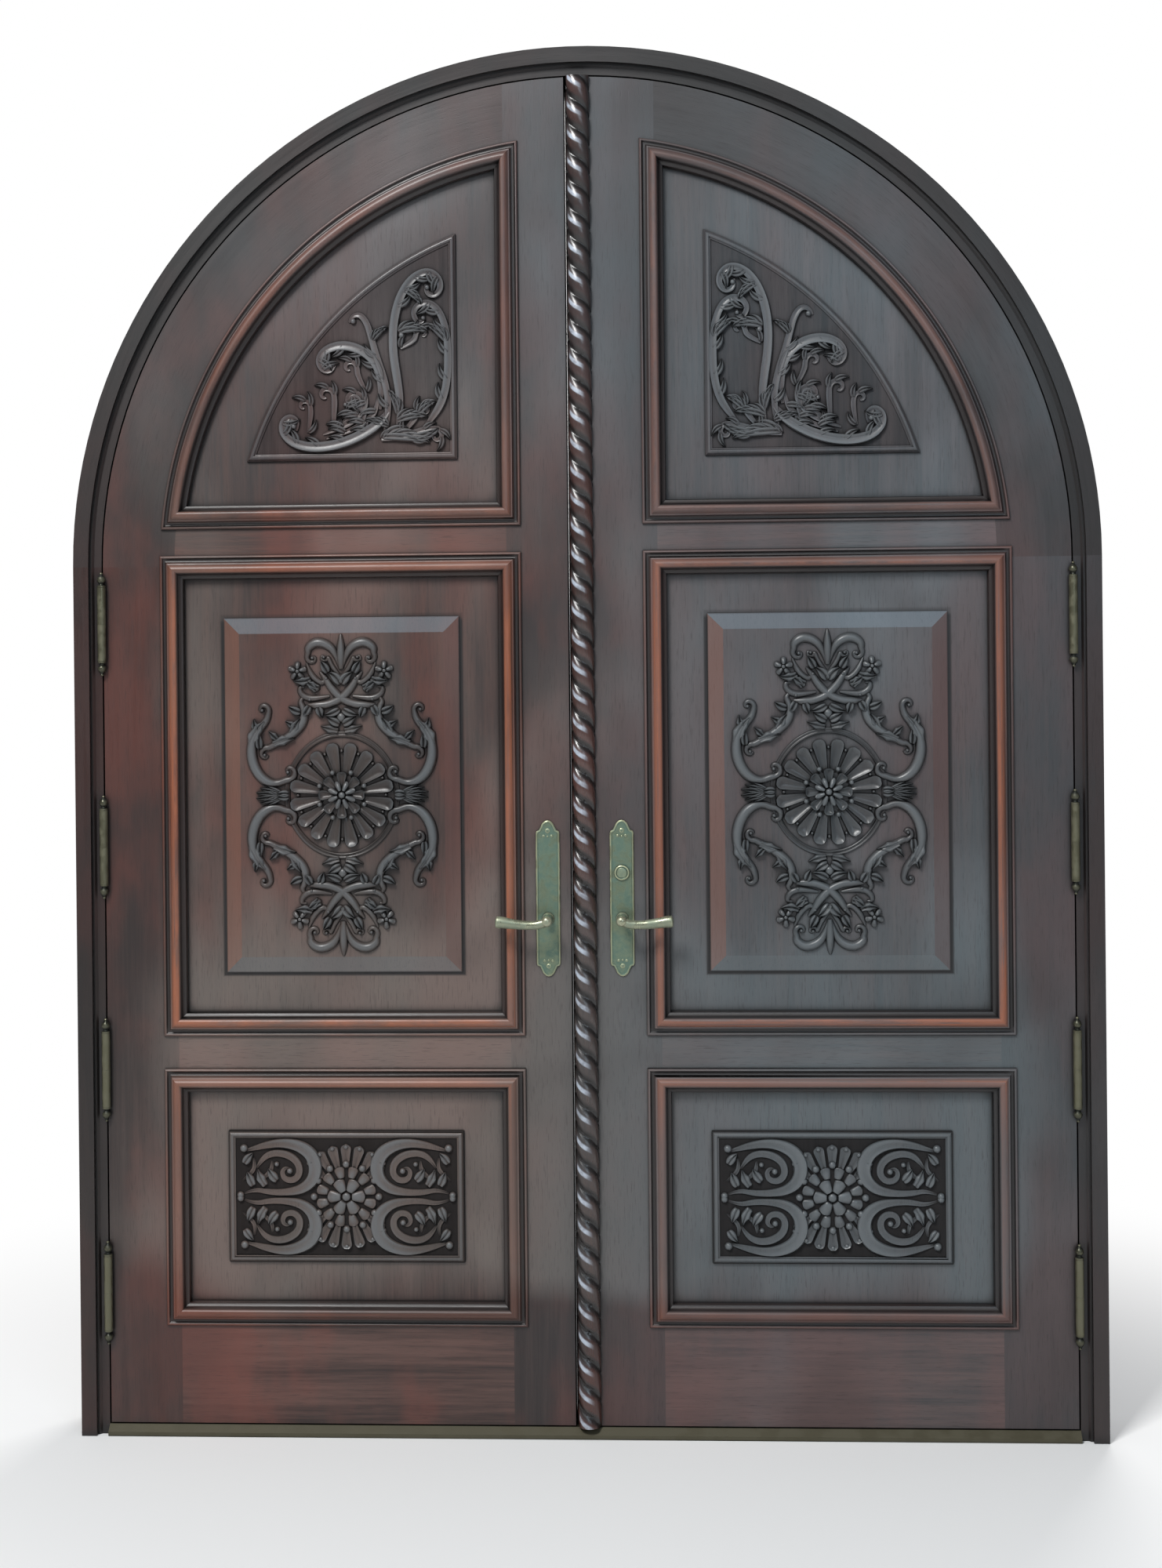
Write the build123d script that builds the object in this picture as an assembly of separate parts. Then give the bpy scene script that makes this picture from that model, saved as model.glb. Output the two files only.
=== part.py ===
# A pair of round-headed carved entrance doors with their frame.
# Millimetres. X runs along the wall, Y through it and Z up. The outside face looks to -Y.
# The origin is under the middle of the threshold.
# A leaf is drawn as the right-hand one, and the left-hand one is its mirror image.
import os
from math import asin, cos, hypot, pi, radians, sin, sqrt

from build123d import *

# Frame
frame_radius = 970.0          # outer edge of the round head, and half the frame's width
spring_height = 1656.0        # where the upright sides end and the round head starts
frame_depth = 140.0
frame_band = 29.0             # flat outer band of the frame's front
frame_reveal = 22.0           # lower strip between the band and the leaf
band_rise = 14.0              # how far the band stands in front of the leaf's face
bead_width = 8.0              # bead in the corner beside the band
bead_height = 4.0
stop_width = 15.0             # how far the stop laps behind the leaf
head_segments = 3             # lengths that the round head is glued from
seal_width = 7.0
seal_depth = 5.0              # how deep the seal sits in its groove
seal_gap = 0.3                # between the seal and the closed leaf

# Threshold
sill_height = 19.0
sill_nose = 8.0               # height of its front edge
sill_back = 12.0              # height of its inner edge
sill_stop = 13.0              # how far its stop rises behind the leaf
sill_stop_width = 14.0

# Leaves
leaf_thickness = 57.0
leaf_gap = 3.0                # between a leaf and the frame, and over the threshold
stop_gap = 3.0                # between a leaf's back and the stop
meeting_gap = 5.0             # between the two leaves
rail_width = 138.0            # hinge stile and arched rail
meeting_rail = 143.0          # the meeting stiles reach this far from the middle
bottom_rail_top = 236.0
lock_rail_low = 670.0
lock_rail_top = 788.0
cross_rail_low = 1648.0
cross_rail_top = 1754.0
tenon_length = 62.0
tenon_thickness = 16.0
tenon_shoulder = 30.0         # rail left above and below a tenon

# Panels
panel_thickness = 37.0
tongue_length = 10.0
tongue_thickness = 12.0
groove_play = 0.3             # round a tongue
panel_play = 1.0              # between a panel's shoulder and the rails
field_margin = 75.0           # from a moulding's inner edge to the raised field
field_step = 3.0
field_rise = 5.0
field_bevel = 30.0

# Mouldings
moulding_width = 45.0
moulding_lap = 28.0           # how much of it lies on the stiles and rails
moulding_height = 18.0

# Carved tablets and onlay
tablet_margin = 75.0          # from a moulding's inner edge to a tablet's straight edges
tablet_base_margin = 83.0     # under the upper tablet
tablet_arc_margin = 93.0      # beside the upper tablet's curved edge
tablet_thickness = 9.0
tablet_border = 15.0
tablet_ground = 4.0           # wood left under the sunk ground

onlay_width = 352.0
onlay_height = 608.0
onlay_low = 6.0               # heights of its three levels
onlay_high = 10.0
onlay_top = 13.0
carving_low = 5.0             # heights of the tablets' carving over their ground
carving_high = 8.0
finger_start = 0.25           # where a carved leaf's fingers start, as a share of its length
finger_length = 0.62          # and their length and width, as shares of the leaf's
finger_width = 0.7
finger_turn = 40.0

# Rope moulding
rope_width = 44.0
rope_lath = 3.0               # flat strip behind the rope
rope_crest = 21.0             # radius over a strand
rope_valley = 16.5            # radius between two strands
strand_spacing = 52.7
strand_drop = 60.0            # how far a strand falls from one side to the other
strand_steps = 5

# Hinges
hinge_count = 4
hinge_first = 272.0           # height of the lowest hinge's middle
hinge_pitch = 425.0
hinge_length = 140.0
knuckle_radius = 8.0
knuckle_gap = 0.3
hinge_pin_radius = 4.0
hinge_pin_play = 0.05
hinge_plate = 2.5
hinge_plate_width = 42.0
hinge_offset = 0.5            # air between the barrel and the leaf's face
finial_length = 28.0
finial_sides = 8

# Handles
handle_offset = 70.0          # spindles stand this far from the middle
spindle_height = 982.0
cylinder_rise = 86.0          # key cylinder above the spindle
spindle_size = 8.0
spindle_play = 0.1
plate_below = 110.0           # plate below and above the spindle
plate_above = 186.0
plate_width = 45.0
plate_thickness = 4.0
plate_point = 25.0            # length of the pointed end
plate_rim = 4.0
plate_sink = 1.2              # how far the face lies below its rim
lever_length = 100.0
lever_reach = 52.0            # from the leaf's face to the lever's middle line
lever_neck_radius = 8.5
lever_neck_play = 0.1
lever_hub_radius = 11.0
lever_waist_radius = 6.0
lever_end_radius = 10.0
lever_drop = 6.0              # how far the arm starts below the spindle
lever_sides = 8
cylinder_radius = 14.0
cylinder_length = 34.0
cylinder_proud = 3.0          # past its plate
keyway_width = 2.0
keyway_height = 9.0
turn_radius = 11.0
turn_wing = 34.0              # length of the thumb turn's wing
turn_thickness = 7.0
turn_reach = 26.0
turn_base = 10.0              # length of its round base
turn_gap = 0.3
turn_stem_radius = 5.0

# Lock and bolts
case_thickness = 20.0
case_below = 90.0             # case below and above the spindle
case_above = 128.0
case_past_spindle = 24.0      # case beyond the spindle
case_play = 1.0
forend_thickness = 3.0
forend_width = 24.0
forend_length = 260.0
latch_height = 24.0
latch_throw = 14.0
latch_drop = 30.0             # latch below the spindle
dead_height = 30.0
dead_throw = 22.0
bolt_thickness = 14.0
bolt_body = 50.0
bolt_play = 0.25
strike_play = 1.5             # round the bolts in the strike plate
rod_radius = 6.0
rod_play = 0.4
rod_throw = 18.0
socket_depth = 30.0

# Fixing holes through the jambs
fixing_radius = 4.0

# Places worked out from the sizes above
opening_radius = frame_radius - frame_band - frame_reveal
stop_radius = opening_radius - stop_width
leaf_radius = opening_radius - leaf_gap
leaf_bottom = sill_height + leaf_gap
frame_front = -frame_depth / 2
frame_back = frame_depth / 2
leaf_front = frame_front + band_rise
leaf_back = leaf_front + leaf_thickness
leaf_middle = (leaf_front + leaf_back) / 2
stop_front = leaf_back + stop_gap
rail_radius = leaf_radius - rail_width
right_edge = -rope_width / 2
left_edge = right_edge - meeting_gap
panel_sink = (leaf_thickness - panel_thickness) / 2
panel_front = leaf_front + panel_sink
field_top = panel_front - field_step - field_rise
hinge_x = (leaf_radius + opening_radius) / 2
hinge_y = leaf_front - knuckle_radius - hinge_offset
hinge_heights = [hinge_first + hinge_pitch * i for i in range(hinge_count)]
cylinder_height = spindle_height + cylinder_rise
plate_low = spindle_height - plate_below
plate_high = spindle_height + plate_above
case_low = spindle_height - case_below
case_high = spindle_height + case_above
leaf_edges = {"right": right_edge, "left": -left_edge}


def elevation(y):
    """The plane of a front view, seen from outside, at one depth."""
    return Plane(origin=(0, y, 0), x_dir=(1, 0, 0), z_dir=(0, -1, 0))


def slab(shape, y_back, y_front):
    """A drawing in the front view, made solid between two depths."""
    return extrude(elevation(y_back) * shape, y_back - y_front)


def block(x, y, z):
    """A box from three (low, high) pairs."""
    size = [high - low for low, high in (x, y, z)]
    middle = [(high + low) / 2 for low, high in (x, y, z)]
    return Pos(*middle) * Box(*size)


def rod_along_y(x, z, radius, y):
    return Pos(x, sum(y) / 2, z) * Rot(90, 0, 0) * Cylinder(radius, y[1] - y[0])


def rectangle(x, z):
    return Pos(sum(x) / 2, sum(z) / 2) * Rectangle(x[1] - x[0], z[1] - z[0])


def height_on_circle(x, radius):
    """Height at which the circle about the head's centre passes x."""
    return spring_height + sqrt(radius**2 - x**2)


def reach_on_circle(z, radius):
    return sqrt(radius**2 - max(z - spring_height, 0) ** 2)


def round_head(left, bottom, radius):
    """What lies right of one line and above another, inside the round head of a radius."""
    foot = (reach_on_circle(bottom, radius), bottom)
    shoulder = (foot[0], max(bottom, spring_height))
    top = (left, height_on_circle(left, radius))
    start_angle = asin((shoulder[1] - spring_height) / radius)
    end_angle = pi / 2 - asin(left / radius)
    half = (start_angle + end_angle) / 2
    middle = (radius * cos(half), spring_height + radius * sin(half))
    edges = [Line((left, bottom), foot), ThreePointArc(shoulder, middle, top), Line(top, (left, bottom))]
    if shoulder != foot:
        edges.append(Line(foot, shoulder))
    return make_face(edges)


def opening(name, grow):
    """A panel opening between the stiles and rails, grown on every side."""
    left = meeting_rail - grow
    if name == "upper":
        return round_head(left, cross_rail_top - grow, rail_radius + grow)
    low, high = {"middle": (lock_rail_top, cross_rail_low), "lower": (bottom_rail_top, lock_rail_low)}[name]
    return rectangle((left, rail_radius + grow), (low - grow, high + grow))


# Frame


def frame_section():
    """Section of jamb and head: distance from the middle, and depth."""
    band_edge = frame_radius - frame_band
    crown = leaf_front - bead_height
    section = make_face(Polyline(
        (stop_radius, frame_back), (frame_radius, frame_back), (frame_radius, frame_front),
        (band_edge, frame_front), (band_edge, crown), (band_edge - bead_width / 2, crown),
        (band_edge - bead_width, leaf_front), (opening_radius, leaf_front),
        (opening_radius, stop_front), (stop_radius, stop_front), close=True))
    return section - seal_groove()


def seal_line():
    return (stop_radius + opening_radius) / 2 - leaf_gap / 2


def seal_groove():
    groove = Rectangle(seal_width, seal_depth)
    return Pos(seal_line(), stop_front + seal_depth / 2) * groove


def seal_section():
    front = leaf_back + seal_gap
    depth = stop_front + seal_depth - front
    return Pos(seal_line(), front + depth / 2) * Rectangle(seal_width, depth)


def along_head(section, start, sweep):
    """A section turned about the head's centre, from one angle over the right springing."""
    turned = Plane(origin=(0, 0, spring_height)) * section
    axis = Axis((0, 0, spring_height), (0, -1, 0))
    return revolve(turned, axis, sweep).rotate(axis, start)


def jamb():
    post = extrude(frame_section(), spring_height)
    for below, above in zip(hinge_heights[::2], hinge_heights[1::2]):
        at = Pos(opening_radius, leaf_middle, (below + above) / 2) * Rot(0, 90, 0)
        post -= at * Cylinder(fixing_radius, 3 * frame_band)
    for z in hinge_heights:
        post -= plate_blank(opening_radius, opening_radius + hinge_plate, z)
    return post


def arch_head():
    sweep = 180 / head_segments
    socket = Pos(-handle_offset, leaf_middle, height_on_circle(handle_offset, opening_radius))
    socket *= Cylinder(rod_radius + rod_play, 2 * socket_depth)
    return [along_head(frame_section(), sweep * i, sweep) - socket for i in range(head_segments)]


def threshold():
    profile = [
        (frame_front, 0), (frame_back, 0), (frame_back, sill_back),
        (stop_front + sill_stop_width, sill_height + sill_stop), (stop_front, sill_height + sill_stop),
        (stop_front, sill_height), (leaf_front, sill_height), (frame_front, sill_nose),
    ]
    section = Plane.YZ * make_face(Polyline(*profile, close=True))
    sill = extrude(section, opening_radius, both=True)
    for side in (-1, 1):
        ends = sorted((side * stop_radius, side * opening_radius))
        sill -= block(ends, (stop_front, frame_back), (0, sill_height + sill_stop))
    keep = Pos(-handle_offset, leaf_middle, 0) * Cylinder(rod_radius + rod_play, 3 * sill_height)
    return sill - keep


def frame_seal():
    post = extrude(Pos(0, 0, sill_height + sill_stop) * seal_section(), spring_height - sill_height - sill_stop)
    return [post + along_head(seal_section(), 0, 180) + mirror(post, Plane.YZ)]


# Stiles and rails


def tongue_slab(name, play):
    half = tongue_thickness / 2 + play
    return slab(opening(name, tongue_length + play), leaf_middle + half, leaf_middle - half)


def tenon(x, z):
    half = tenon_thickness / 2
    return block(x, (leaf_middle - half, leaf_middle + half), z)


def rail_tenons(low, high):
    """Tenons at both ends of a straight rail, drawn from inside it."""
    z = (low + tenon_shoulder, high - tenon_shoulder)
    left = (meeting_rail - tenon_length, meeting_rail + tenon_shoulder)
    right = (rail_radius - tenon_shoulder, rail_radius + tenon_length)
    return [tenon(x, z) for x in (left, right)]


def arch_tenons():
    """Tenons of the arched rail, down into the hinge stile and across into the meeting stile."""
    down = (rail_radius + tenon_shoulder, leaf_radius - tenon_shoulder)
    across = (
        height_on_circle(meeting_rail, rail_radius) + tenon_shoulder,
        height_on_circle(meeting_rail, leaf_radius) - tenon_shoulder,
    )
    return [
        tenon(down, (spring_height - tenon_length, spring_height)),
        tenon((meeting_rail - tenon_length, meeting_rail), across),
    ]


def straight_rail(low, high):
    inside = round_head(meeting_rail, low, rail_radius)
    return slab(inside & rectangle((meeting_rail, leaf_radius), (low, high)), leaf_back, leaf_front)


def hinge_mortises():
    return [plate_blank(leaf_radius - hinge_plate, leaf_radius, z) for z in hinge_heights]


def wooden_frame(edge):
    """Stiles and rails of one leaf, by name."""
    blank = round_head(edge, leaf_bottom, leaf_radius)
    rails = {
        "bottom_rail": (leaf_bottom, bottom_rail_top),
        "lock_rail": (lock_rail_low, lock_rail_top),
        "cross_rail": (cross_rail_low, cross_rail_top),
    }
    grooves = [tongue_slab(name, groove_play) for name in ("upper", "middle", "lower")]
    tenons = {name: rail_tenons(*span) for name, span in rails.items()}
    tenons["arched_rail"] = arch_tenons()
    every_tenon = [piece for pieces in tenons.values() for piece in pieces]
    hinge_zone = rectangle((rail_radius, leaf_radius), (leaf_bottom, spring_height))
    meeting_zone = rectangle((edge, meeting_rail), (leaf_bottom, spring_height + leaf_radius))
    arch_zone = round_head(meeting_rail, spring_height, leaf_radius)
    arch_zone -= round_head(meeting_rail, spring_height, rail_radius)
    wood = {
        "hinge_stile": slab(hinge_zone, leaf_back, leaf_front) - every_tenon - hinge_mortises(),
        "meeting_stile": slab(blank & meeting_zone, leaf_back, leaf_front) - every_tenon,
        "arched_rail": slab(arch_zone, leaf_back, leaf_front) + tenons["arched_rail"] - tenons["cross_rail"],
    }
    for name, span in rails.items():
        wood[name] = straight_rail(*span) + tenons[name]
    return {name: piece - grooves for name, piece in wood.items()}


# Panels


def field(name, y, out):
    """Raised field on one face of a panel. out is -1 outside and 1 inside."""
    margin = field_margin + moulding_width - moulding_lap
    y_step = y + out * field_step
    y_top = y_step + out * field_rise
    foot = opening(name, -margin)
    flat = opening(name, -margin - field_bevel)
    step = slab(foot, max(y, y_step), min(y, y_step))
    return step + loft([elevation(y_step) * foot, elevation(y_top) * flat], ruled=True)


def panel(name):
    body = slab(opening(name, -panel_play), leaf_back - panel_sink, panel_front)
    body += tongue_slab(name, 0)
    body += field(name, leaf_back - panel_sink, 1)
    if name == "middle":
        body += field(name, panel_front, -1)
    return body


# Mouldings


def moulding_section():
    """Section of the bolection moulding: inward from its outer edge, and out from the leaf's face."""
    top = moulding_height
    inner = moulding_width
    return make_face(Polyline(
        (0, 0), (0, 0.3 * top), (0.1 * inner, 0.3 * top), (0.18 * inner, 0.14 * top),
        (0.35 * inner, 0.6 * top), (0.45 * inner, 0.92 * top), (0.6 * inner, top), (0.73 * inner, 0.86 * top),
        (0.79 * inner, 0.5 * top), (0.93 * inner, 0.25 * top), (inner, -0.15 * top),
        (inner, -panel_sink), (moulding_lap, -panel_sink), (moulding_lap, 0), close=True))


def corners(name, grow):
    """Corners of an opening: bottom left, bottom right, top right and top left, or the upper one's three."""
    left = meeting_rail - grow
    right = rail_radius + grow
    if name == "upper":
        low = cross_rail_top - grow
        return [(left, low), (reach_on_circle(low, right), low), (left, height_on_circle(left, right))]
    low, high = {"middle": (lock_rail_top, cross_rail_low), "lower": (bottom_rail_top, lock_rail_low)}[name]
    return [(left, low - grow), (right, low - grow), (right, high + grow), (left, high + grow)]


def straight_length(start, end, out):
    """Moulding along one straight side, its ends still square and too long."""
    run = Vector(end[0] - start[0], 0, end[1] - start[1])
    inward = Vector(-run.Z, 0, run.X).normalized()
    face = leaf_front if out < 0 else leaf_back
    normal = inward.cross(Vector(0, out, 0))
    plane = Plane(origin=(start[0], face, start[1]), x_dir=inward, z_dir=normal)
    return extrude(plane * moulding_section(), run.length, both=True)


def arched_length(out):
    """Moulding round the upper opening's curved side."""
    face = leaf_front if out < 0 else leaf_back
    outer = rail_radius + moulding_lap
    plane = Plane(origin=(outer, face, spring_height), x_dir=(-1, 0, 0), z_dir=(0, 0, -out))
    axis = Axis((0, 0, spring_height), (0, -1, 0))
    return revolve(plane * moulding_section(), axis, 90)


def mitre_zone(outer, inner, start, end, beyond):
    """Front view of one side between the mitres at its two ends, drawn past both edges."""
    reach = 4.0

    def past(index, share):
        a, b = Vector(*outer[index]), Vector(*inner[index])
        point = a + (b - a) * share
        return (point.X, point.Y)

    points = [past(start, -reach), *beyond, past(end, -reach), past(end, 1.2), past(start, 1.2)]
    return make_face(Polyline(*points, close=True))


def moulding(name):
    """All mitred lengths of one moulding, on both faces of the leaf."""
    outer = corners(name, moulding_lap)
    inner = corners(name, moulding_lap - moulding_width)
    wood = slab(opening(name, 2 * moulding_lap) - opening(name, 0), leaf_back, leaf_front)
    lengths = []
    for out in (-1, 1):
        for start in range(len(outer)):
            end = (start + 1) % len(outer)
            curved = name == "upper" and start == 1
            bar = arched_length(out) if curved else straight_length(outer[start], outer[end], out)
            beyond = [(frame_radius, spring_height + frame_radius)] if curved else []
            zone = mitre_zone(outer, inner, start, end, beyond)
            lengths.append((bar & slab(zone, frame_back, 2 * frame_front)) - wood)
    return lengths


# Rope moulding


def rope_point(strand, share, step):
    """A point of the rope's surface: share runs over one strand, step runs across the rope."""
    radius = rope_valley if share == 0 else rope_crest
    angle = radians(180 * step / strand_steps - 90)
    across = step / strand_steps
    height = leaf_bottom + (strand + share) * strand_spacing - strand_drop * across
    return (radius * sin(angle), leaf_front - rope_lath - radius * cos(angle), height)


def triangle(a, b, c):
    return Face(Wire.make_polygon([a, b, c], close=True))


def rope_astragal():
    """Half-round rope on a thin lath. Its strands fall from left to right."""
    top = height_on_circle(rope_width / 2, leaf_radius)
    strands = int((top - leaf_bottom + strand_drop) / strand_spacing) + 3
    lines = [(strand - 1, share) for strand in range(strands) for share in (0, 0.28, 0.72)]
    lines.append((strands - 1, 0))
    rows = [[rope_point(*line, step) for step in range(strand_steps + 1)] for line in lines]
    faces = []
    for low, high in zip(rows, rows[1:]):
        for i in range(strand_steps):
            faces.append(triangle(low[i], low[i + 1], high[i + 1]))
            faces.append(triangle(low[i], high[i + 1], high[i]))
    hubs = []
    for row in (rows[0], rows[-1]):
        hub = (0, row[0][1], (row[0][2] + row[-1][2]) / 2)
        hubs.append(hub)
        faces += [triangle(hub, row[i], row[i + 1]) for i in range(strand_steps)]
    back = [row[0] for row in rows] + [hubs[1]] + [row[-1] for row in reversed(rows)] + [hubs[0]]
    faces.append(Face(Wire.make_polygon(back, close=True)))
    half = rope_width / 2
    length = (leaf_bottom, top)
    rope = Solid(Shell(faces)) & block((-half, half), (2 * frame_front, leaf_front), length)
    return [rope + block((-half, half), (leaf_front - rope_lath, leaf_front), length)]


# Hinges


def plate_blank(x_low, x_high, z):
    """The space of one hinge plate in the rebate."""
    half = hinge_length / 2
    return block((x_low, x_high), (leaf_front, leaf_front + hinge_plate_width), (z - half, z + half))


def knuckle(z, upper):
    """Height range of one half of a hinge's barrel. The upper half belongs to the leaf."""
    half = hinge_length / 2
    return (z + knuckle_gap, z + half) if upper else (z - half, z)


def hinge_half(x_low, x_high, upper):
    """One plate of every lift-off hinge of a leaf, with its half of the barrel."""
    plates = []
    for z in hinge_heights:
        low, high = knuckle(z, upper)
        barrel = Pos(hinge_x, hinge_y, (low + high) / 2) * Cylinder(knuckle_radius, high - low)
        ear = block((x_low, x_high), (hinge_y, leaf_front), (low, high))
        bore = Pos(hinge_x, hinge_y, z) * Cylinder(hinge_pin_radius + hinge_pin_play, 2 * hinge_length)
        plates.append(plate_blank(x_low, x_high, z) + ear + barrel - bore)
    return plates


def finial():
    """Small urn on the barrel's end, with eight flats."""
    outline = [(0, 1), (0.1, 1), (0.25, 0.55), (0.45, 0.95), (0.65, 0.8), (1, 0.15)]
    sections = []
    for height, width in outline:
        sections.append(Pos(0, 0, height * finial_length) * RegularPolygon(width * knuckle_radius, finial_sides))
    return loft(sections, ruled=True)


def hinge_pins():
    half = hinge_length / 2
    pins = []
    for z in hinge_heights:
        pin = Cylinder(hinge_pin_radius, hinge_length + 2)
        pin += Pos(0, 0, half + knuckle_gap) * finial()
        pin += Pos(0, 0, -half - knuckle_gap) * Rot(180, 0, 0) * finial()
        pins.append(Pos(hinge_x, hinge_y, z) * pin)
    return pins


# Handles. x is the spindle's place, and way is -1 outside and 1 inside.


def face_of_leaf(way):
    return leaf_front if way < 0 else leaf_back


def depth_range(start, end):
    return (min(start, end), max(start, end))


def plate_outline(x):
    """Long plate with pointed ends."""
    half = plate_width / 2
    middle = (plate_high + plate_low) / 2
    end = (plate_high - plate_low) / 2
    side = [(half, end - plate_point), (0.6 * half, end - 0.45 * plate_point), (0.4 * half, end - 0.1 * plate_point)]
    right = [(half, plate_point - end)] + side + [(0, end)]
    right = [(across, -up) for across, up in side[:0:-1]] + right
    left = [(-across, up) for across, up in right[-2::-1]]
    outline = make_face(Polyline(*right, *left, (0, -end), close=True))
    return Pos(x, middle) * outline


def handle_plate(x, way, cylinder_hole):
    face = face_of_leaf(way)
    top = face + way * plate_thickness
    span = depth_range(face, top)
    plate = slab(plate_outline(x), span[1], span[0])
    sunk = depth_range(top - way * plate_sink, top + way * plate_sink)
    plate -= slab(offset(plate_outline(x), -plate_rim, kind=Kind.INTERSECTION), sunk[1], sunk[0])
    plate -= rod_along_y(x, spindle_height, lever_neck_radius + lever_neck_play, span)
    if cylinder_hole:
        plate -= rod_along_y(x, cylinder_height, cylinder_hole, span)
    return plate


def lever_arm():
    """Arm along +X: it leaves the spindle downwards, runs level and swells to its end."""
    reach = [(0, 0, 1.25 * lever_waist_radius), (0.18, 1, lever_waist_radius), (0.5, 1, 1.1 * lever_waist_radius),
             (0.9, 0.35, lever_end_radius), (1, 0.2, 0.85 * lever_end_radius)]
    sections = []
    for share, drop, radius in reach:
        at = Plane(origin=(share * lever_length, 0, -drop * lever_drop), x_dir=(0, 1, 0), z_dir=(1, 0, 0))
        sections.append(at * RegularPolygon(radius, lever_sides))
    return loft(sections, ruled=True)


def lever(x, way, side):
    """Lever with its neck. side is the way that the arm points along X."""
    y = face_of_leaf(way) + way * lever_reach
    arm = lever_arm() if side > 0 else mirror(lever_arm(), Plane.YZ)
    neck_start = face_of_leaf(way) + way * spindle_play
    neck = rod_along_y(x, spindle_height, lever_neck_radius, depth_range(neck_start, y))
    hub_start = face_of_leaf(way) + way * (plate_thickness + lever_neck_play)
    hub = rod_along_y(x, spindle_height, lever_hub_radius, depth_range(hub_start, y + way * lever_waist_radius))
    socket = spindle_size / 2 + spindle_play
    hole = block(
        (x - socket, x + socket), depth_range(neck_start, y), (spindle_height - socket, spindle_height + socket))
    return Pos(x, y, spindle_height) * arm + neck + hub - hole


def spindle(x):
    half = spindle_size / 2
    ends = (leaf_front - lever_reach + spindle_play, leaf_back + lever_reach - spindle_play)
    return block((x - half, x + half), ends, (spindle_height - half, spindle_height + half))


def key_cylinder(x):
    front = leaf_front - plate_thickness - cylinder_proud
    body = rod_along_y(x, cylinder_height, cylinder_radius, (front, front + cylinder_length))
    keyway = block(
        (x - keyway_width / 2, x + keyway_width / 2), (front, front + cylinder_length / 2),
        (cylinder_height - keyway_height / 2, cylinder_height + keyway_height / 2))
    return body - keyway


def thumb_turn(x):
    """Knob with a wing on the inside, and the tail that drives the dead bolt."""
    seat = leaf_back + plate_thickness
    base = rod_along_y(x, cylinder_height, turn_radius, (seat + turn_gap, seat + turn_base))
    half = turn_thickness / 2
    wing = rectangle(
        (x - half, x + half), (cylinder_height - turn_wing / 2, cylinder_height + turn_wing / 2))
    wing = slab(chamfer(wing.vertices(), 0.6 * half), seat + turn_reach, seat + turn_base / 2)
    tail = rod_along_y(
        x, cylinder_height, turn_stem_radius, (leaf_middle + case_thickness / 4, seat + turn_base))
    return base + wing + tail


# Lock, strike and bolts. The right leaf's edge is at right_edge and the left leaf's at left_edge.


def latch_span():
    middle = spindle_height - latch_drop
    return (middle - latch_height / 2, middle + latch_height / 2)


def dead_span():
    middle = cylinder_height - dead_height
    return (middle - dead_height / 2, middle + dead_height / 2)


def bolt_depth(play):
    half = bolt_thickness / 2 + play
    return (leaf_middle - half, leaf_middle + half)


def spread(span, play):
    return (span[0] - play, span[1] + play)


def forend(x, z_middle):
    """Flat plate let into a leaf's edge."""
    half_wide = forend_width / 2
    half_long = forend_length / 2
    return block(x, (leaf_middle - half_wide, leaf_middle + half_wide), (z_middle - half_long, z_middle + half_long))


def case_block(x, play):
    half = case_thickness / 2 + play
    return block(x, (leaf_middle - half, leaf_middle + half), (case_low - play, case_high + play))


def lock_middle():
    return (case_low + case_high) / 2


def lock_case():
    back = handle_offset + case_past_spindle
    case = case_block((right_edge + forend_thickness, back), 0)
    case += forend((right_edge, right_edge + forend_thickness), lock_middle())
    reach = right_edge + bolt_body + 2 * bolt_play
    for span in (latch_span(), dead_span()):
        case -= block((right_edge, reach), bolt_depth(bolt_play), spread(span, bolt_play))
    through = (leaf_middle - case_thickness, leaf_middle + case_thickness)
    case -= rod_along_y(handle_offset, spindle_height, lever_neck_radius, through)
    cylinder_end = leaf_front - plate_thickness - cylinder_proud + cylinder_length
    case -= rod_along_y(handle_offset, cylinder_height, cylinder_radius, (leaf_front, cylinder_end))
    tail = (leaf_middle + case_thickness / 4, leaf_back)
    return case - rod_along_y(handle_offset, cylinder_height, turn_stem_radius + lever_neck_play, tail)


def latch_bolt():
    x = (right_edge, right_edge + bolt_body)
    bolt = block(x, bolt_depth(0), latch_span())
    nose = [(right_edge, leaf_middle), (right_edge, leaf_middle + bolt_thickness),
            (right_edge + latch_throw, leaf_middle + bolt_thickness)]
    return bolt - extrude(make_face(Polyline(*nose, close=True)), spindle_height)


def dead_bolt():
    return block((right_edge, right_edge + bolt_body), bolt_depth(0), dead_span())


def strike_plate():
    plate = forend((left_edge - forend_thickness, left_edge), lock_middle())
    for span in (latch_span(), dead_span()):
        plate -= block((left_edge - bolt_body, left_edge), bolt_depth(strike_play), spread(span, strike_play))
    return plate


def bolt_case():
    """Gear case of the shoot bolts, with the bore of its lever and the ends of the rods' bores."""
    middle = -handle_offset
    case = case_block((middle - case_past_spindle, middle + case_past_spindle), 0)
    case -= rod_along_y(middle, spindle_height, lever_neck_radius, (leaf_front, leaf_back))
    for z in (case_low, case_high):
        case -= Pos(middle, leaf_middle, z) * Cylinder(rod_radius + bolt_play, 4 * rod_throw)
    return case


def shoot_bolt(low, high):
    return Pos(-handle_offset, leaf_middle, (low + high) / 2) * Cylinder(rod_radius, high - low)


def top_bolt():
    return shoot_bolt(case_high - rod_throw, height_on_circle(handle_offset, leaf_radius) - 1)


def bottom_bolt():
    return shoot_bolt(leaf_bottom + 1, case_low + rod_throw)


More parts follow.
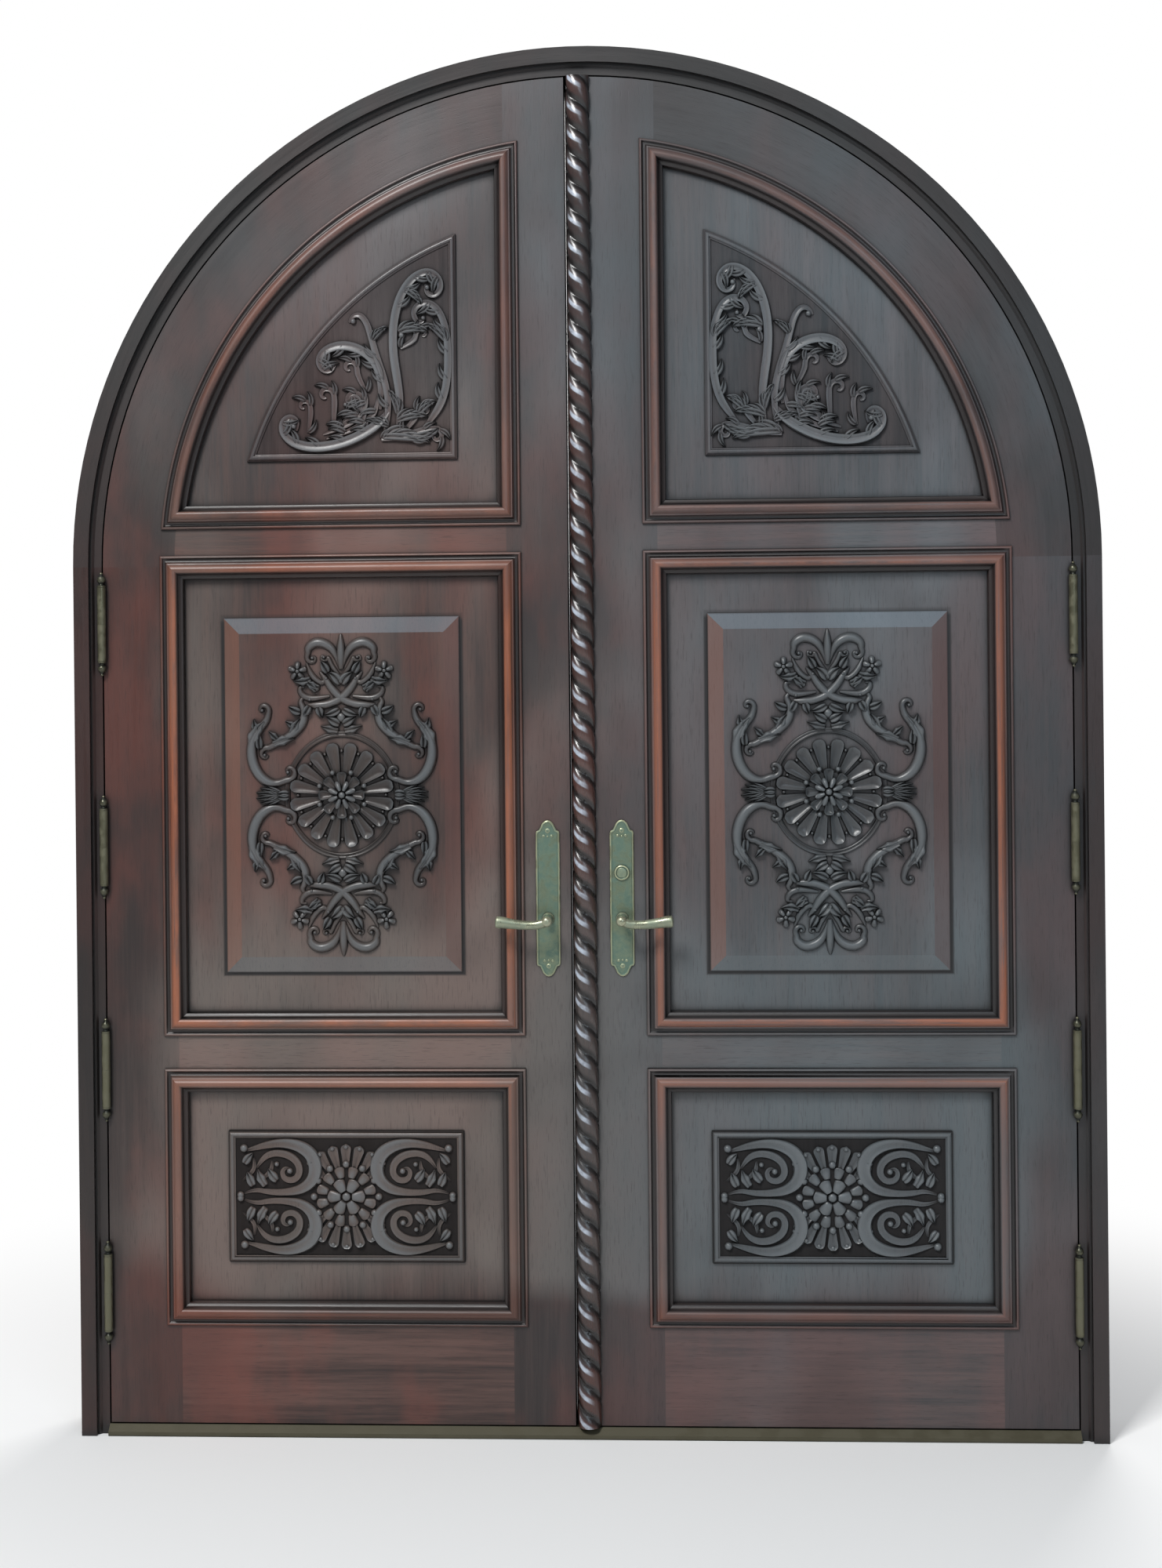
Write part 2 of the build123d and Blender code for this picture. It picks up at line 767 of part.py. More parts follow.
def spindle_bores(x):
    """Bores through a meeting stile for the levers' necks, as the leaf is drawn."""
    return rod_along_y(x, spindle_height, lever_neck_radius + case_play, (leaf_front, leaf_back))


def right_stile_cuts():
    back = handle_offset + case_past_spindle + case_play
    cylinder_cut = rod_along_y(handle_offset, cylinder_height, cylinder_radius, (leaf_front, leaf_middle))
    tail_cut = rod_along_y(handle_offset, cylinder_height, turn_stem_radius + case_play, (leaf_middle, leaf_back))
    edge = (right_edge, right_edge + forend_thickness)
    return [case_block((right_edge, back), case_play), forend(edge, lock_middle()),
            spindle_bores(handle_offset), cylinder_cut, tail_cut]


def left_stile_cuts():
    """Cuts in the left meeting stile, at their true place on the left."""
    middle = -handle_offset
    cuts = [
        case_block((middle - case_past_spindle - case_play, middle + case_past_spindle + case_play), case_play),
        forend((left_edge - forend_thickness, left_edge), lock_middle()),
        spindle_bores(middle),
    ]
    depth = {latch_span(): latch_throw, dead_span(): dead_throw}
    for span, throw in depth.items():
        x = (left_edge - throw, left_edge)
        cuts.append(block(x, bolt_depth(strike_play), spread(span, strike_play)))
    height = spring_height + leaf_radius
    bore = Cylinder(rod_radius + rod_play, height, align=(Align.CENTER, Align.CENTER, Align.MIN))
    cuts.append(Pos(middle, leaf_middle, 0) * bore)
    return cuts


# Assembly


def mirrored(pieces):
    return [mirror(piece, Plane.YZ) for piece in pieces]


def as_list(pieces):
    return pieces if isinstance(pieces, list) else [pieces]


def leaf_nodes(side):
    """Everything of one leaf that has a twin on the other, by node name."""
    wood = wooden_frame(leaf_edges[side])
    nodes = dict(wood)
    for name in ("upper", "middle", "lower"):
        nodes[f"{name}_panel"] = panel(name)
        nodes[f"{name}_moulding"] = moulding(name)
    nodes["upper_tablet"] = upper_tablet()
    nodes["middle_onlay"] = middle_onlay()
    nodes["lower_tablet"] = lower_tablet()
    nodes["hinge_door_plates"] = hinge_half(leaf_radius - hinge_plate, leaf_radius, True)
    nodes["hinge_pins"] = hinge_pins()
    if side == "left":
        nodes = {name: mirrored(as_list(pieces)) for name, pieces in nodes.items()}
        nodes["meeting_stile"] = nodes["meeting_stile"][0] - left_stile_cuts()
    else:
        nodes["meeting_stile"] -= right_stile_cuts()
    for place, way in (("outside", -1), ("inside", 1)):
        x = handle_offset if side == "right" else -handle_offset
        hole = 0
        if side == "right":
            hole = cylinder_radius if way < 0 else turn_stem_radius + lever_neck_play
        nodes[f"plate_{place}"] = handle_plate(x, way, hole)
        nodes[f"lever_{place}"] = lever(x, way, 1 if side == "right" else -1)
        nodes["spindle"] = spindle(x)
    return {f"{name}_{side}": pieces for name, pieces in nodes.items()}


# Carving. Strokes are drawn flat on a grid of about a millimetre and raised to a few levels.


def stroke(points, unit=(1, 1)):
    """A tapering stroke along (across, up, width) points of the grid."""
    first, second = [], []
    for i, (x, z, width) in enumerate(points):
        before, after = points[max(i - 1, 0)], points[min(i + 1, len(points) - 1)]
        dx, dz = after[0] - before[0], after[1] - before[1]
        share = width / 2 / hypot(dx, dz)
        first.append(((x - dz * share) * unit[0], (z + dx * share) * unit[1]))
        second.append(((x + dz * share) * unit[0], (z - dx * share) * unit[1]))
    return make_face(Polyline(*first, *reversed(second), close=True))


def curl(x, z, radius, start, sweep, width, step=60):
    """Points of a hook that opens out round (x, z)."""
    count = max(2, round(abs(sweep) / step))
    points = []
    for i in range(count + 1):
        share = i / count
        angle = radians(start + sweep * share)
        reach = radius * (0.75 + 0.25 * share)
        points.append((x + reach * cos(angle), z + reach * sin(angle), width * (0.7 + 0.3 * share)))
    return points


def leaf(x, z, angle, length, width, unit=(1, 1)):
    """A pointed leaf that grows from (x, z)."""
    along = (cos(radians(angle)), sin(radians(angle)))
    spine = [(0, 0.3), (0.35, 0.9), (0.65, 1.0), (1, 0.08)]
    return stroke([(x + length * t * along[0], z + length * t * along[1], width * w) for t, w in spine], unit)


def lobed_leaf(x, z, angle, length, width, unit=(1, 1)):
    """A leaf with a smaller finger on each side."""
    fingers = [leaf(x, z, angle, length, width, unit)]
    for turn in (-finger_turn, finger_turn):
        start = (x + finger_start * length * cos(radians(angle)), z + finger_start * length * sin(radians(angle)))
        fingers.append(leaf(*start, angle + turn, finger_length * length, finger_width * width, unit))
    return fingers


def ring_of_petals(count, inner, outer, width, turn=0, unit=(1, 1)):
    """Petals that widen outwards to a rounded end."""
    petals = []
    spine = [(0, 0.35), (0.5, 0.8), (0.8, 1.0), (0.95, 0.7), (1, 0.3)]
    for i in range(count):
        angle = radians(360 * i / count + turn)
        reach = [(inner + (outer - inner) * share, width * wide) for share, wide in spine]
        petals.append(stroke([(r * cos(angle), r * sin(angle), wide) for r, wide in reach], unit))
    return petals


def polygon_disc(radius, sides, unit=(1, 1), at=(0, 0)):
    points = []
    for i in range(sides):
        angle = 2 * pi * i / sides
        points.append(((at[0] + radius * cos(angle)) * unit[0], (at[1] + radius * sin(angle)) * unit[1]))
    return make_face(Polyline(*points, close=True))


def drawn(shapes):
    return Sketch() + shapes


def both_sides(shape):
    return shape + mirror(shape, Plane.YZ)


def four_ways(shape):
    half = both_sides(shape)
    return half + mirror(half, Plane.XZ)


def raised(levels, place, y):
    """Drawings with their heights, raised from one depth on a place of the front view."""
    body = Part()
    for shape, height in levels:
        body += slab(Pos(*place) * shape, y, y - height)
    return body


def middle_onlay():
    """Rosette in an oval ring, four big scrolls round it and a knot of ribbons above and below."""
    unit = (onlay_width / 352, onlay_height / 608)
    ring = drawn([stroke([(107 * sin(radians(a)), 117 * cos(radians(a)), 12) for a in range(-9, 190, 18)], unit)])
    scrolls = [
        [(108, 32, 10), (124, 20, 13), (150, 30, 15), (167, 58, 15), (167, 90, 14), (148, 112, 16), (138, 136, 19),
         (140, 160, 20), (136, 172, 12)],
        [(142, 60, 9), (158, 80, 12), (152, 104, 10)],
        [(72, 186, 10), (70, 160, 15), (82, 134, 15), (108, 116, 13), (146, 108, 10)],
    ]
    eyes = [(102, 44, 14), (142, 70, 13), (72, 182, 12), (136, 166, 13), (60, 166, 12), (84, 236, 9), (40, 286, 11)]
    ribbons = [
        [(-38, 238, 10), (-22, 206, 13), (0, 184, 14), (30, 168, 13), (62, 166, 12)],
        [(36, 236, 10), (58, 222, 14), (70, 240, 12), (60, 270, 13), (40, 284, 12), (20, 268, 9), (12, 246, 7)],
        [(60, 226, 10), (84, 236, 12)],
        [(8, 196, 9), (36, 186, 11), (70, 178, 9)],
    ]
    side_shell = [leaf(112, 0, turn, 54, 17, unit) for turn in (-20, 0, 20)]
    sprigs = [leaf(150, 104, 62, 34, 17, unit), leaf(96, 118, 148, 32, 15, unit), leaf(62, 248, 20, 34, 14, unit)]
    stem = [stroke([(0, 118, 30), (0, 132, 34), (0, 150, 18), (0, 184, 12), (0, 220, 14), (0, 250, 22)], unit)]
    crown = stem + [leaf(0, 246, 90, 58, 20, unit)]
    low = both_sides(ring) + four_ways(drawn(sprigs + crown)) + both_sides(drawn(side_shell))
    high = four_ways(drawn([stroke(points, unit) for points in scrolls + ribbons]))
    high += four_ways(drawn([polygon_disc(radius, 8, unit, (x, z)) for x, z, radius in eyes]))
    petals = drawn(ring_of_petals(16, 30, 104, 31, 11.25, unit) + [polygon_disc(58, 16, unit)])
    heart = drawn(ring_of_petals(8, 8, 46, 25, 0, unit) + [polygon_disc(20, 8, unit)])
    levels = [(low, onlay_low), (high, onlay_high), (petals, onlay_low), (heart, onlay_high)]
    levels.append((polygon_disc(12, 8, unit), onlay_top))
    place = ((opening_corner("middle")[0] + rail_radius) / 2, (lock_rail_top + cross_rail_low) / 2)
    return raised(levels, place, field_top)


def opening_corner(name):
    return corners(name, 0)[0]


def tablet_board(outline, inner):
    """Board with a raised border round a sunk ground."""
    board = slab(outline, panel_front, panel_front - tablet_thickness)
    return board - slab(inner, panel_front - tablet_ground, panel_front - 2 * tablet_thickness)


def lower_tablet():
    """Rosette between two fans, with a pair of crescent scrolls on each side."""
    grow = moulding_lap - moulding_width - tablet_margin
    outline = opening("lower", grow)
    inner = opening("lower", grow - tablet_border)
    size = inner.bounding_box().size
    unit = (size.X / 422, size.Y / 220)
    scrolls = [
        [(190, 26, 5), (190, 50, 12), (174, 74, 17), (142, 90, 19), (106, 87, 19), (76, 68, 20), (64, 42, 18),
         (76, 18, 14), (104, 8, 11), (134, 8, 6)],
        [(146, 36, 5), (142, 58, 12), (122, 70, 14), (98, 62, 14), (92, 44, 12), (104, 30, 9), (120, 32, 5)],
    ]
    fan = [leaf(0, 40, 90 - turn, 62, 20, unit) for turn in (0, 22, 44)]
    corner = [leaf(168, 88, 12, 34, 15, unit), leaf(136, 3, -2, 62, 16, unit), leaf(150, 14, 62, 36, 15, unit)]
    wreath = ring_of_petals(12, 30, 64, 27, 15, unit)
    low = four_ways(drawn(fan + corner)) + drawn(wreath + [polygon_disc(44, 12, unit)])
    high = four_ways(drawn([stroke(points, unit) for points in scrolls]))
    flower = drawn(ring_of_petals(6, 5, 34, 27, 0, unit))
    levels = [(low, carving_low), (high, carving_high), (flower, carving_high)]
    foot = opening_corner("lower")
    place = ((foot[0] + rail_radius) / 2, (bottom_rail_top + lock_rail_low) / 2)
    return tablet_board(outline, inner) + raised(levels, place, panel_front - tablet_ground)


def upper_tablet_shape(inset):
    left = meeting_rail + (moulding_width - moulding_lap) + tablet_margin + inset
    bottom = cross_rail_top + (moulding_width - moulding_lap) + tablet_base_margin + inset
    radius = rail_radius - (moulding_width - moulding_lap) - tablet_arc_margin - inset
    return (left, bottom, radius)


def upper_tablet():
    """Acanthus that grows from the square corner into the curved side."""
    left, bottom, radius = upper_tablet_shape(0)
    unit = ((reach_on_circle(bottom, radius) - left) / 403, (height_on_circle(left, radius) - bottom) / 427)
    stems = [
        [(66, 60, 18), (44, 88, 14), (26, 150, 12), (20, 214, 12), (30, 262, 11)]
        + curl(50, 268, 15, 130, -250, 10)[::-1],
        [(96, 92, 20), (114, 150, 15), (122, 220, 14), (118, 280, 13), (96, 322, 13)]
        + curl(62, 330, 22, 10, 240, 11)[::-1],
        [(118, 118, 16), (150, 168, 13), (166, 222, 11), (182, 268, 7)],
        [(128, 128, 15), (150, 176, 15), (184, 206, 15)] + curl(226, 192, 24, 150, -270, 12)[::-1],
        [(110, 100, 18), (150, 66, 18), (206, 38, 18), (270, 28, 16)] + curl(308, 58, 26, 250, 260, 13)[::-1],
        [(150, 112, 7), (154, 90, 13), (186, 68, 12), (232, 52, 6)],
    ]
    lobed = [
        (60, 66, 205, 42, 24), (60, 52, 255, 36, 22), (88, 50, 300, 38, 22), (112, 60, 330, 48, 20),
        (100, 108, 148, 54, 24), (122, 236, 158, 52, 22), (124, 232, 24, 42, 20), (178, 108, 14, 62, 24),
        (196, 132, -10, 66, 22), (250, 150, -28, 92, 28), (196, 50, 62, 50, 20), (24, 246, 60, 40, 18),
        (60, 346, 62, 40, 18), (20, 196, 62, 40, 16), (96, 320, 196, 44, 18), (236, 208, 30, 40, 18),
    ]
    plain = [(182, 262, 30, 28, 16), (182, 262, 100, 34, 16), (330, 46, -20, 40, 15), (140, 42, 200, 44, 18)]
    leaves = [finger for place in lobed for finger in lobed_leaf(*place, unit)]
    leaves += [leaf(*place, unit) for place in plain]
    low = drawn(leaves + [stroke([(40, 34, 14), (84, 70, 44), (120, 120, 30), (150, 170, 6)], unit)])
    high = drawn([stroke(points, unit) for points in stems])
    board = tablet_board(round_head(left, bottom, radius), round_head(*upper_tablet_shape(tablet_border)))
    inside = slab(round_head(*upper_tablet_shape(tablet_border)), panel_front, 2 * frame_front)
    relief = raised([(low, carving_low), (high, carving_high)], (left, bottom), panel_front - tablet_ground)
    return board + (relief & inside)


# Files


def frame_nodes():
    post = jamb()
    plates = hinge_half(opening_radius, opening_radius + hinge_plate, False)
    return {
        "jamb_right": post,
        "jamb_left": mirror(post, Plane.YZ),
        "arch_head": arch_head(),
        "threshold": threshold(),
        "frame_seal": frame_seal(),
        "hinge_frame_plates": plates + mirrored(plates),
    }


def lock_nodes():
    return {
        "lock_case": lock_case(),
        "latch_bolt": latch_bolt(),
        "dead_bolt": dead_bolt(),
        "key_cylinder": key_cylinder(handle_offset),
        "thumb_turn": thumb_turn(handle_offset),
        "strike_plate": strike_plate(),
        "bolt_case": bolt_case(),
        "top_bolt": top_bolt(),
        "bottom_bolt": bottom_bolt(),
    }


def main():
    nodes = {**frame_nodes(), **leaf_nodes("right"), **leaf_nodes("left"), **lock_nodes()}
    nodes["rope_astragal"] = rope_astragal()
    os.makedirs("parts", exist_ok=True)
    for name, pieces in nodes.items():
        solids = [solid for piece in as_list(pieces) for solid in piece.solids()]
        shape = solids[0] if len(solids) == 1 else Compound(solids)
        shape.label = name
        export_step(shape, os.path.join("parts", f"{name}.step"))


main()
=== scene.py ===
# Looks of a round-headed pair of carved entrance doors: mouldings, carvings, rope, brass and varnish.
# Metres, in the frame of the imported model. The outside face looks to -Y.
from math import atan2, cos, degrees, hypot, pi, radians, sin, sqrt

import bmesh
import bpy
from mathutils import Matrix, Vector


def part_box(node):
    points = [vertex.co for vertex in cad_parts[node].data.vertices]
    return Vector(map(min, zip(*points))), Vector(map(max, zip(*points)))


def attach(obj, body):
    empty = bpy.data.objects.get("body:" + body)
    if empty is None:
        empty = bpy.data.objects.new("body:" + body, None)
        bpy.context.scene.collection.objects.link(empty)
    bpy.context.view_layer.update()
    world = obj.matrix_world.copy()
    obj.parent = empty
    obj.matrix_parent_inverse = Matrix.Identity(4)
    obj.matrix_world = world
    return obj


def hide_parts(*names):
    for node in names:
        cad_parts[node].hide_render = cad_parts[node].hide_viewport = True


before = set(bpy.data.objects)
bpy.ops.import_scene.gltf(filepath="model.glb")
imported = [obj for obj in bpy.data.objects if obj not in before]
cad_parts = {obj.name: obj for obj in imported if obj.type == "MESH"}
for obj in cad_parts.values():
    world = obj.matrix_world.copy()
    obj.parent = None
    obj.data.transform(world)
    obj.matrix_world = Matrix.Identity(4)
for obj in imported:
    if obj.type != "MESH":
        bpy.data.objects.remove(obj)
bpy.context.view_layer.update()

mm = 0.001
sides = {"right": 1, "left": -1}

# Heights, in Z
head_height = 1.656  # centre of the round head
plate_height = 1.02
lever_height = 0.982
cylinder_height = 1.068
hinge_heights = (0.272, 0.697, 1.122, 1.547)

# Places from the meeting line, in X
handle_across = 0.07
hinge_across = 0.9175
upper_moulding_radius = 0.806

# Faces, in Y
leaf_face = -0.056
leaf_back = 0.001
panel_face = -0.046
field_face = -0.054
tablet_ground = -0.05
hinge_pin_line = -0.0645

# Widths
bolection_width = 0.045
tablet_edge_width = 0.0144

# Shader helpers


def add(tree, kind, inputs=None, **settings):
    """A node with its settings, and its inputs as values or as the sockets that feed them."""
    made = tree.nodes.new(kind)
    for name, value in settings.items():
        setattr(made, name, value)
    feed(tree, made, inputs or {})
    return made


def feed(tree, node, inputs):
    for key, value in inputs.items():
        if isinstance(value, bpy.types.NodeSocket):
            tree.links.new(value, node.inputs[key])
        else:
            node.inputs[key].default_value = value


def noise(tree, vector, scale, detail=4.0, rough=0.55, distortion=0.0):
    return add(tree, "ShaderNodeTexNoise", {
        "Vector": vector, "Scale": scale, "Detail": detail, "Roughness": rough,
        "Distortion": distortion}).outputs["Fac"]


def spread(tree, value, low, high, start=0.0, end=1.0):
    """Runs smoothly from start to end while a value goes from low to high."""
    inputs = {"Value": value, "From Min": low, "From Max": high, "To Min": start, "To Max": end}
    return add(tree, "ShaderNodeMapRange", inputs, interpolation_type="SMOOTHSTEP").outputs["Result"]


def maths(tree, operation, first, second=0.0, clamp=False):
    inputs = {0: first, 1: second}
    return add(tree, "ShaderNodeMath", inputs, operation=operation, use_clamp=clamp).outputs[0]


def times(tree, first, second):
    return maths(tree, "MULTIPLY", first, second)


def plus(tree, first, second, clamp=False):
    return maths(tree, "ADD", first, second, clamp)


def band(tree, value, rise, fall):
    """A mask that comes in over one pair of places and goes out over another."""
    return times(tree, spread(tree, value, *rise), spread(tree, value, *fall))


def stretched(tree, vector, factors):
    inputs = {0: vector, 1: factors}
    return add(tree, "ShaderNodeVectorMath", inputs, operation="MULTIPLY").outputs["Vector"]


def axes(tree, vector):
    """The X, Y and Z of a vector."""
    return add(tree, "ShaderNodeSeparateXYZ", {0: vector}).outputs


def blended(tree, amount, first, second):
    mix = add(tree, "ShaderNodeMix", data_type="RGBA")
    feed(tree, mix, {0: amount, 6: first, 7: second})
    return mix.outputs[2]


def overlaid(tree, body, mask, share, tone):
    """Lays a tone over a colour where a mask is, at a share of its strength: a stain, wear, or painted
    light or shade.
    """
    return blended(tree, times(tree, mask, share), body, tone)


def new_group(name, inputs, outputs):
    """A node group with its sockets, and the nodes that it starts and ends with."""
    group = bpy.data.node_groups.new(name, "ShaderNodeTree")
    for way, sockets in (("INPUT", inputs), ("OUTPUT", outputs)):
        for socket, kind in sockets:
            group.interface.new_socket(socket, in_out=way, socket_type=f"NodeSocket{kind}")
    return group, group.nodes.new("NodeGroupInput"), group.nodes.new("NodeGroupOutput")


def place_group(tree, group, inputs):
    made = add(tree, "ShaderNodeGroup", node_tree=group)
    feed(tree, made, inputs)
    return made.outputs


def colour(red, green, blue):
    """A colour given as it looks on screen, from 0 to 255."""
    def linear(level):
        level = level / 255
        return level / 12.92 if level <= 0.04045 else ((level + 0.055) / 1.055) ** 2.4
    return (linear(red), linear(green), linear(blue), 1.0)


# Effects that several finishes share


def grain_effect():
    """Growth lines and open pores of mahogany, running along the third coordinate."""
    group, start, end = new_group(
        "mahogany_grain", [("Run", "Vector")],
        [("Figure", "Float"), ("Pores", "Float"), ("Normal", "Vector")])
    run = start.outputs["Run"]
    broad = noise(group, stretched(group, run, (1, 1, 0.05)), 26, 5, 0.6, 0.4)
    fine = noise(group, stretched(group, run, (1, 1, 0.035)), 190, 3, 0.6)
    pores = noise(group, stretched(group, run, (1, 1, 0.06)), 620, 2, 0.5)
    figure = plus(group, times(group, broad, 0.65), times(group, fine, 0.35))
    pore_mask = spread(group, pores, 0.56, 0.72)
    height = maths(group, "SUBTRACT", figure, times(group, pore_mask, 0.5))
    bump = add(group, "ShaderNodeBump", {"Strength": 0.25, "Distance": 0.0006, "Height": height})
    feed(group, end, {
        "Figure": spread(group, figure, 0.3, 0.7), "Pores": pore_mask,
        "Normal": bump.outputs["Normal"]})
    return group


def patches_effect():
    """Slow changes of the stain, of the varnish's bloom with a painted sheen, and a painted cool sky
    reflection, over the whole door.
    """
    group, start, end = new_group(
        "stain_and_sheen_patches", [("Place", "Vector")],
        [("Red", "Float"), ("BloomAndSheen", "Float"), ("Cool", "Float"), ("Deep", "Float")])
    place = start.outputs["Place"]
    parts = axes(group, place)
    across, up = parts["X"], parts["Z"]
    from_meeting = maths(group, "ABSOLUTE", across)
    cloud = noise(group, stretched(group, place, (1, 1, 0.5)), 3.6, 4, 0.6)
    drift = noise(group, stretched(group, place, (1, 1, 0.4)), 4.3, 2, 0.5)
    depths = noise(group, place, 3.4, 2, 0.5)

    # The bloom and painted sheen are strongest below the handles and by the meeting line, and thin by
    # hinges and floor.
    hinge_side = spread(group, from_meeting, 0.74, 0.86)
    weathered = times(group, spread(group, up, 0.22, 0.42), spread(group, up, 1.15, 0.75))
    meeting = spread(group, from_meeting, 0.26, 0.1)
    strength = plus(group, times(group, meeting, 0.42), 0.38)
    bloom_and_sheen = plus(group, drift, times(group, weathered, strength))
    kept_dark = times(group, hinge_side, spread(group, up, 2.0, 1.5, 0.0, 0.3))
    bloom_and_sheen = maths(group, "SUBTRACT", bloom_and_sheen, kept_dark)
    bloom_and_sheen = maths(group, "SUBTRACT", bloom_and_sheen, spread(group, up, 0.28, 0.2, 0.0, 0.25))

    # Painted cool sky reflection: the right leaf and the head are cooler than the left leaf.
    right_leaf = times(group, spread(group, across, -0.25, 0.35), 0.75)
    cool = plus(group, right_leaf, times(group, spread(group, up, 1.6, 2.3), 0.6))
    feed(group, end, {
        "Red": spread(group, cloud, 0.42, 0.62), "BloomAndSheen": spread(group, bloom_and_sheen, 0.38, 0.8),
        "Cool": plus(group, cool, 0, True), "Deep": spread(group, depths, 0.5, 0.75)})
    return group


def round_head_effect():
    """Turns a place on the door into distance from the head's centre, depth and length round it."""
    group, start, end = new_group("round_head_run", [("Place", "Vector")], [("Run", "Vector")])
    parts = axes(group, start.outputs["Place"])
    across, up = parts["X"], maths(group, "SUBTRACT", parts["Z"], head_height)
    squares = plus(group, times(group, across, across), times(group, up, up))
    length = times(group, maths(group, "ARCTAN2", across, up), 0.85)
    joined = add(group, "ShaderNodeCombineXYZ", {
        "X": maths(group, "SQRT", squares), "Y": parts["Y"], "Z": length})
    feed(group, end, {"Run": joined.outputs[0]})
    return group


def recess_effect():
    """Corners and hollows, darkened as painted shade on wood and as grime in brass's hollows, and
    ridges, which are rubbed bright.
    """
    group, start, end = new_group(
        "recess_shade_and_grime", [("Reach", "Float")], [("Recess", "Float"), ("Ridge", "Float")])
    near = add(
        group, "ShaderNodeAmbientOcclusion", {"Distance": start.outputs["Reach"]}, samples=8)
    shape = add(group, "ShaderNodeNewGeometry")
    feed(group, end, {
        "Recess": spread(group, near.outputs["AO"], 0.94, 0.45),
        "Ridge": spread(group, shape.outputs["Pointiness"], 0.51, 0.58)})
    return group


grain = grain_effect()
patches = patches_effect()
round_head = round_head_effect()
recess = recess_effect()

# Finishes


def new_material(name):
    material = bpy.data.materials.new(name)
    material.use_nodes = True
    return material, material.node_tree, material.node_tree.nodes["Principled BSDF"]


def place_of(tree):
    return add(tree, "ShaderNodeTexCoord").outputs["Object"]


def run_of(tree, direction):
    """Coordinates whose third one follows the grain, or a moulding's own run attribute."""
    if direction == "moulded":
        return add(tree, "ShaderNodeAttribute", attribute_name="run").outputs["Vector"]
    place = place_of(tree)
    if direction == "upright":
        return place
    if direction == "round":
        return place_group(tree, round_head, {"Place": place})["Run"]
    parts = axes(tree, place)
    level = {"X": parts["Z"], "Y": parts["Y"], "Z": parts["X"]}
    return add(tree, "ShaderNodeCombineXYZ", level).outputs[0]


def moulded_lines(tree, body):
    """Painted shade in a moulding's groove and inner step, and wear on its round, most at hand height.
    """
    run = run_of(tree, "moulded")
    across = axes(tree, run)["X"]
    up = axes(tree, place_of(tree))["Z"]
    groove = band(tree, across, (0.004, 0.007), (0.0145, 0.011))
    step = spread(tree, across, 0.032, 0.0355)
    rubbed = band(tree, across, (0.014, 0.022), (0.035, 0.031))
    handled = band(tree, up, (0.5, 0.8), (1.75, 1.5))
    streaks = noise(tree, stretched(tree, run, (1, 1, 0.12)), 34, 4, 0.6)
    share = times(
        tree, spread(tree, streaks, 0.35, 0.65, 0.25, 1.0), plus(tree, times(tree, handled, 0.6), 0.22))
    body = overlaid(tree, body, rubbed, share, colour(150, 86, 56))
    # Painted shade in the groove and on the inner step.
    return overlaid(tree, body, plus(tree, groove, step, True), 0.85, colour(17, 11, 11))


def field_lines(tree, body):
    """Painted shadow round the middle panel's raised field, and painted light and shade on its four
    bevels by the way each faces.
    """
    low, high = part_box("middle_moulding_right")
    half_width, half_height = (high.x - low.x) / 2, (high.z - low.z) / 2
    to_field = 0.12
    parts = axes(tree, place_of(tree))
    from_meeting = maths(tree, "ABSOLUTE", parts["X"])
    across = maths(tree, "SUBTRACT", from_meeting, (low.x + high.x) / 2)
    up = maths(tree, "SUBTRACT", parts["Z"], (low.z + high.z) / 2)
    beside = maths(tree, "SUBTRACT", maths(tree, "ABSOLUTE", across), half_width - to_field)
    above = maths(tree, "SUBTRACT", maths(tree, "ABSOLUTE", up), half_height - to_field)
    edge = maths(tree, "MAXIMUM", beside, above)
    # Painted shadow line round the field's step, fainter along its top.
    line = band(tree, edge, (-0.003, 0.0), (0.009, 0.004))
    at_top = (half_height - to_field - 0.01, half_height - to_field)
    line = times(tree, line, spread(tree, up, *at_top, 0.95, 0.35))
    # Painted light and shade on the bevels: a bluish painted sky reflection on the upper and lower
    # ones, a warm lit tone facing left, darker red facing right.
    slopes = axes(tree, add(tree, "ShaderNodeTexCoord").outputs["Normal"])
    inside = spread(tree, edge, 0.001, -0.001)
    for axis, way, tone in (
            ("Z", 1, colour(92, 108, 120)), ("Z", -1, colour(86, 94, 98)),
            ("X", -1, colour(124, 78, 60)), ("X", 1, colour(84, 50, 43))):
        bevel = spread(tree, slopes[axis], way * 0.04, way * 0.12, 0.0, 0.36)
        body = overlaid(tree, body, bevel, inside, tone)
    return blended(tree, line, body, colour(14, 10, 11))


def rope_lines(tree, body):
    """Painted shade in the rope's valleys and a painted highlight on the upper side of every strand."""
    parts = axes(tree, run_of(tree, "moulded"))
    across, flank, crest = parts["X"], parts["Y"], parts["Z"]
    # Painted highlight: a light band on the upper flank of each strand, patchy along the rope.
    upper_side = band(tree, flank, (0.1, -0.3), (-1.0, -0.8))
    lit = times(tree, upper_side, spread(tree, crest, 0.25, 0.6))
    lit = times(tree, lit, band(tree, across, (0.1, 0.22), (0.68, 0.4)))
    patchy = spread(tree, noise(tree, place_of(tree), 60, 3, 0.6), 0.3, 0.6, 0.45, 0.95)
    # Painted shade, near-black in the valleys between strands.
    body = blended(tree, spread(tree, crest, 0.6, 0.08, 0.0, 0.95), body, colour(12, 8, 8))
    return overlaid(tree, body, lit, patchy, colour(170, 178, 190))


def carved_depths(tree, ground, crest):
    """How low and how high a place on a carving lies, between its ground and its crests."""
    depth = times(tree, axes(tree, place_of(tree))["Y"], -1.0)
    low = spread(tree, depth, ground + 0.6 * mm, ground + 2.6 * mm, 1.0, 0.0)
    return low, spread(tree, depth, ground + 3 * mm, crest)


# Tones of the varnish's bloom and painted sheen, bluish where the painted sky reflection lies.
painted_blue_sheen = colour(82, 98, 105)
warm_bloom_and_sheen = colour(112, 104, 98)
# Painted highlight on the crests of carvings.
painted_crest_highlight = colour(100, 105, 108)


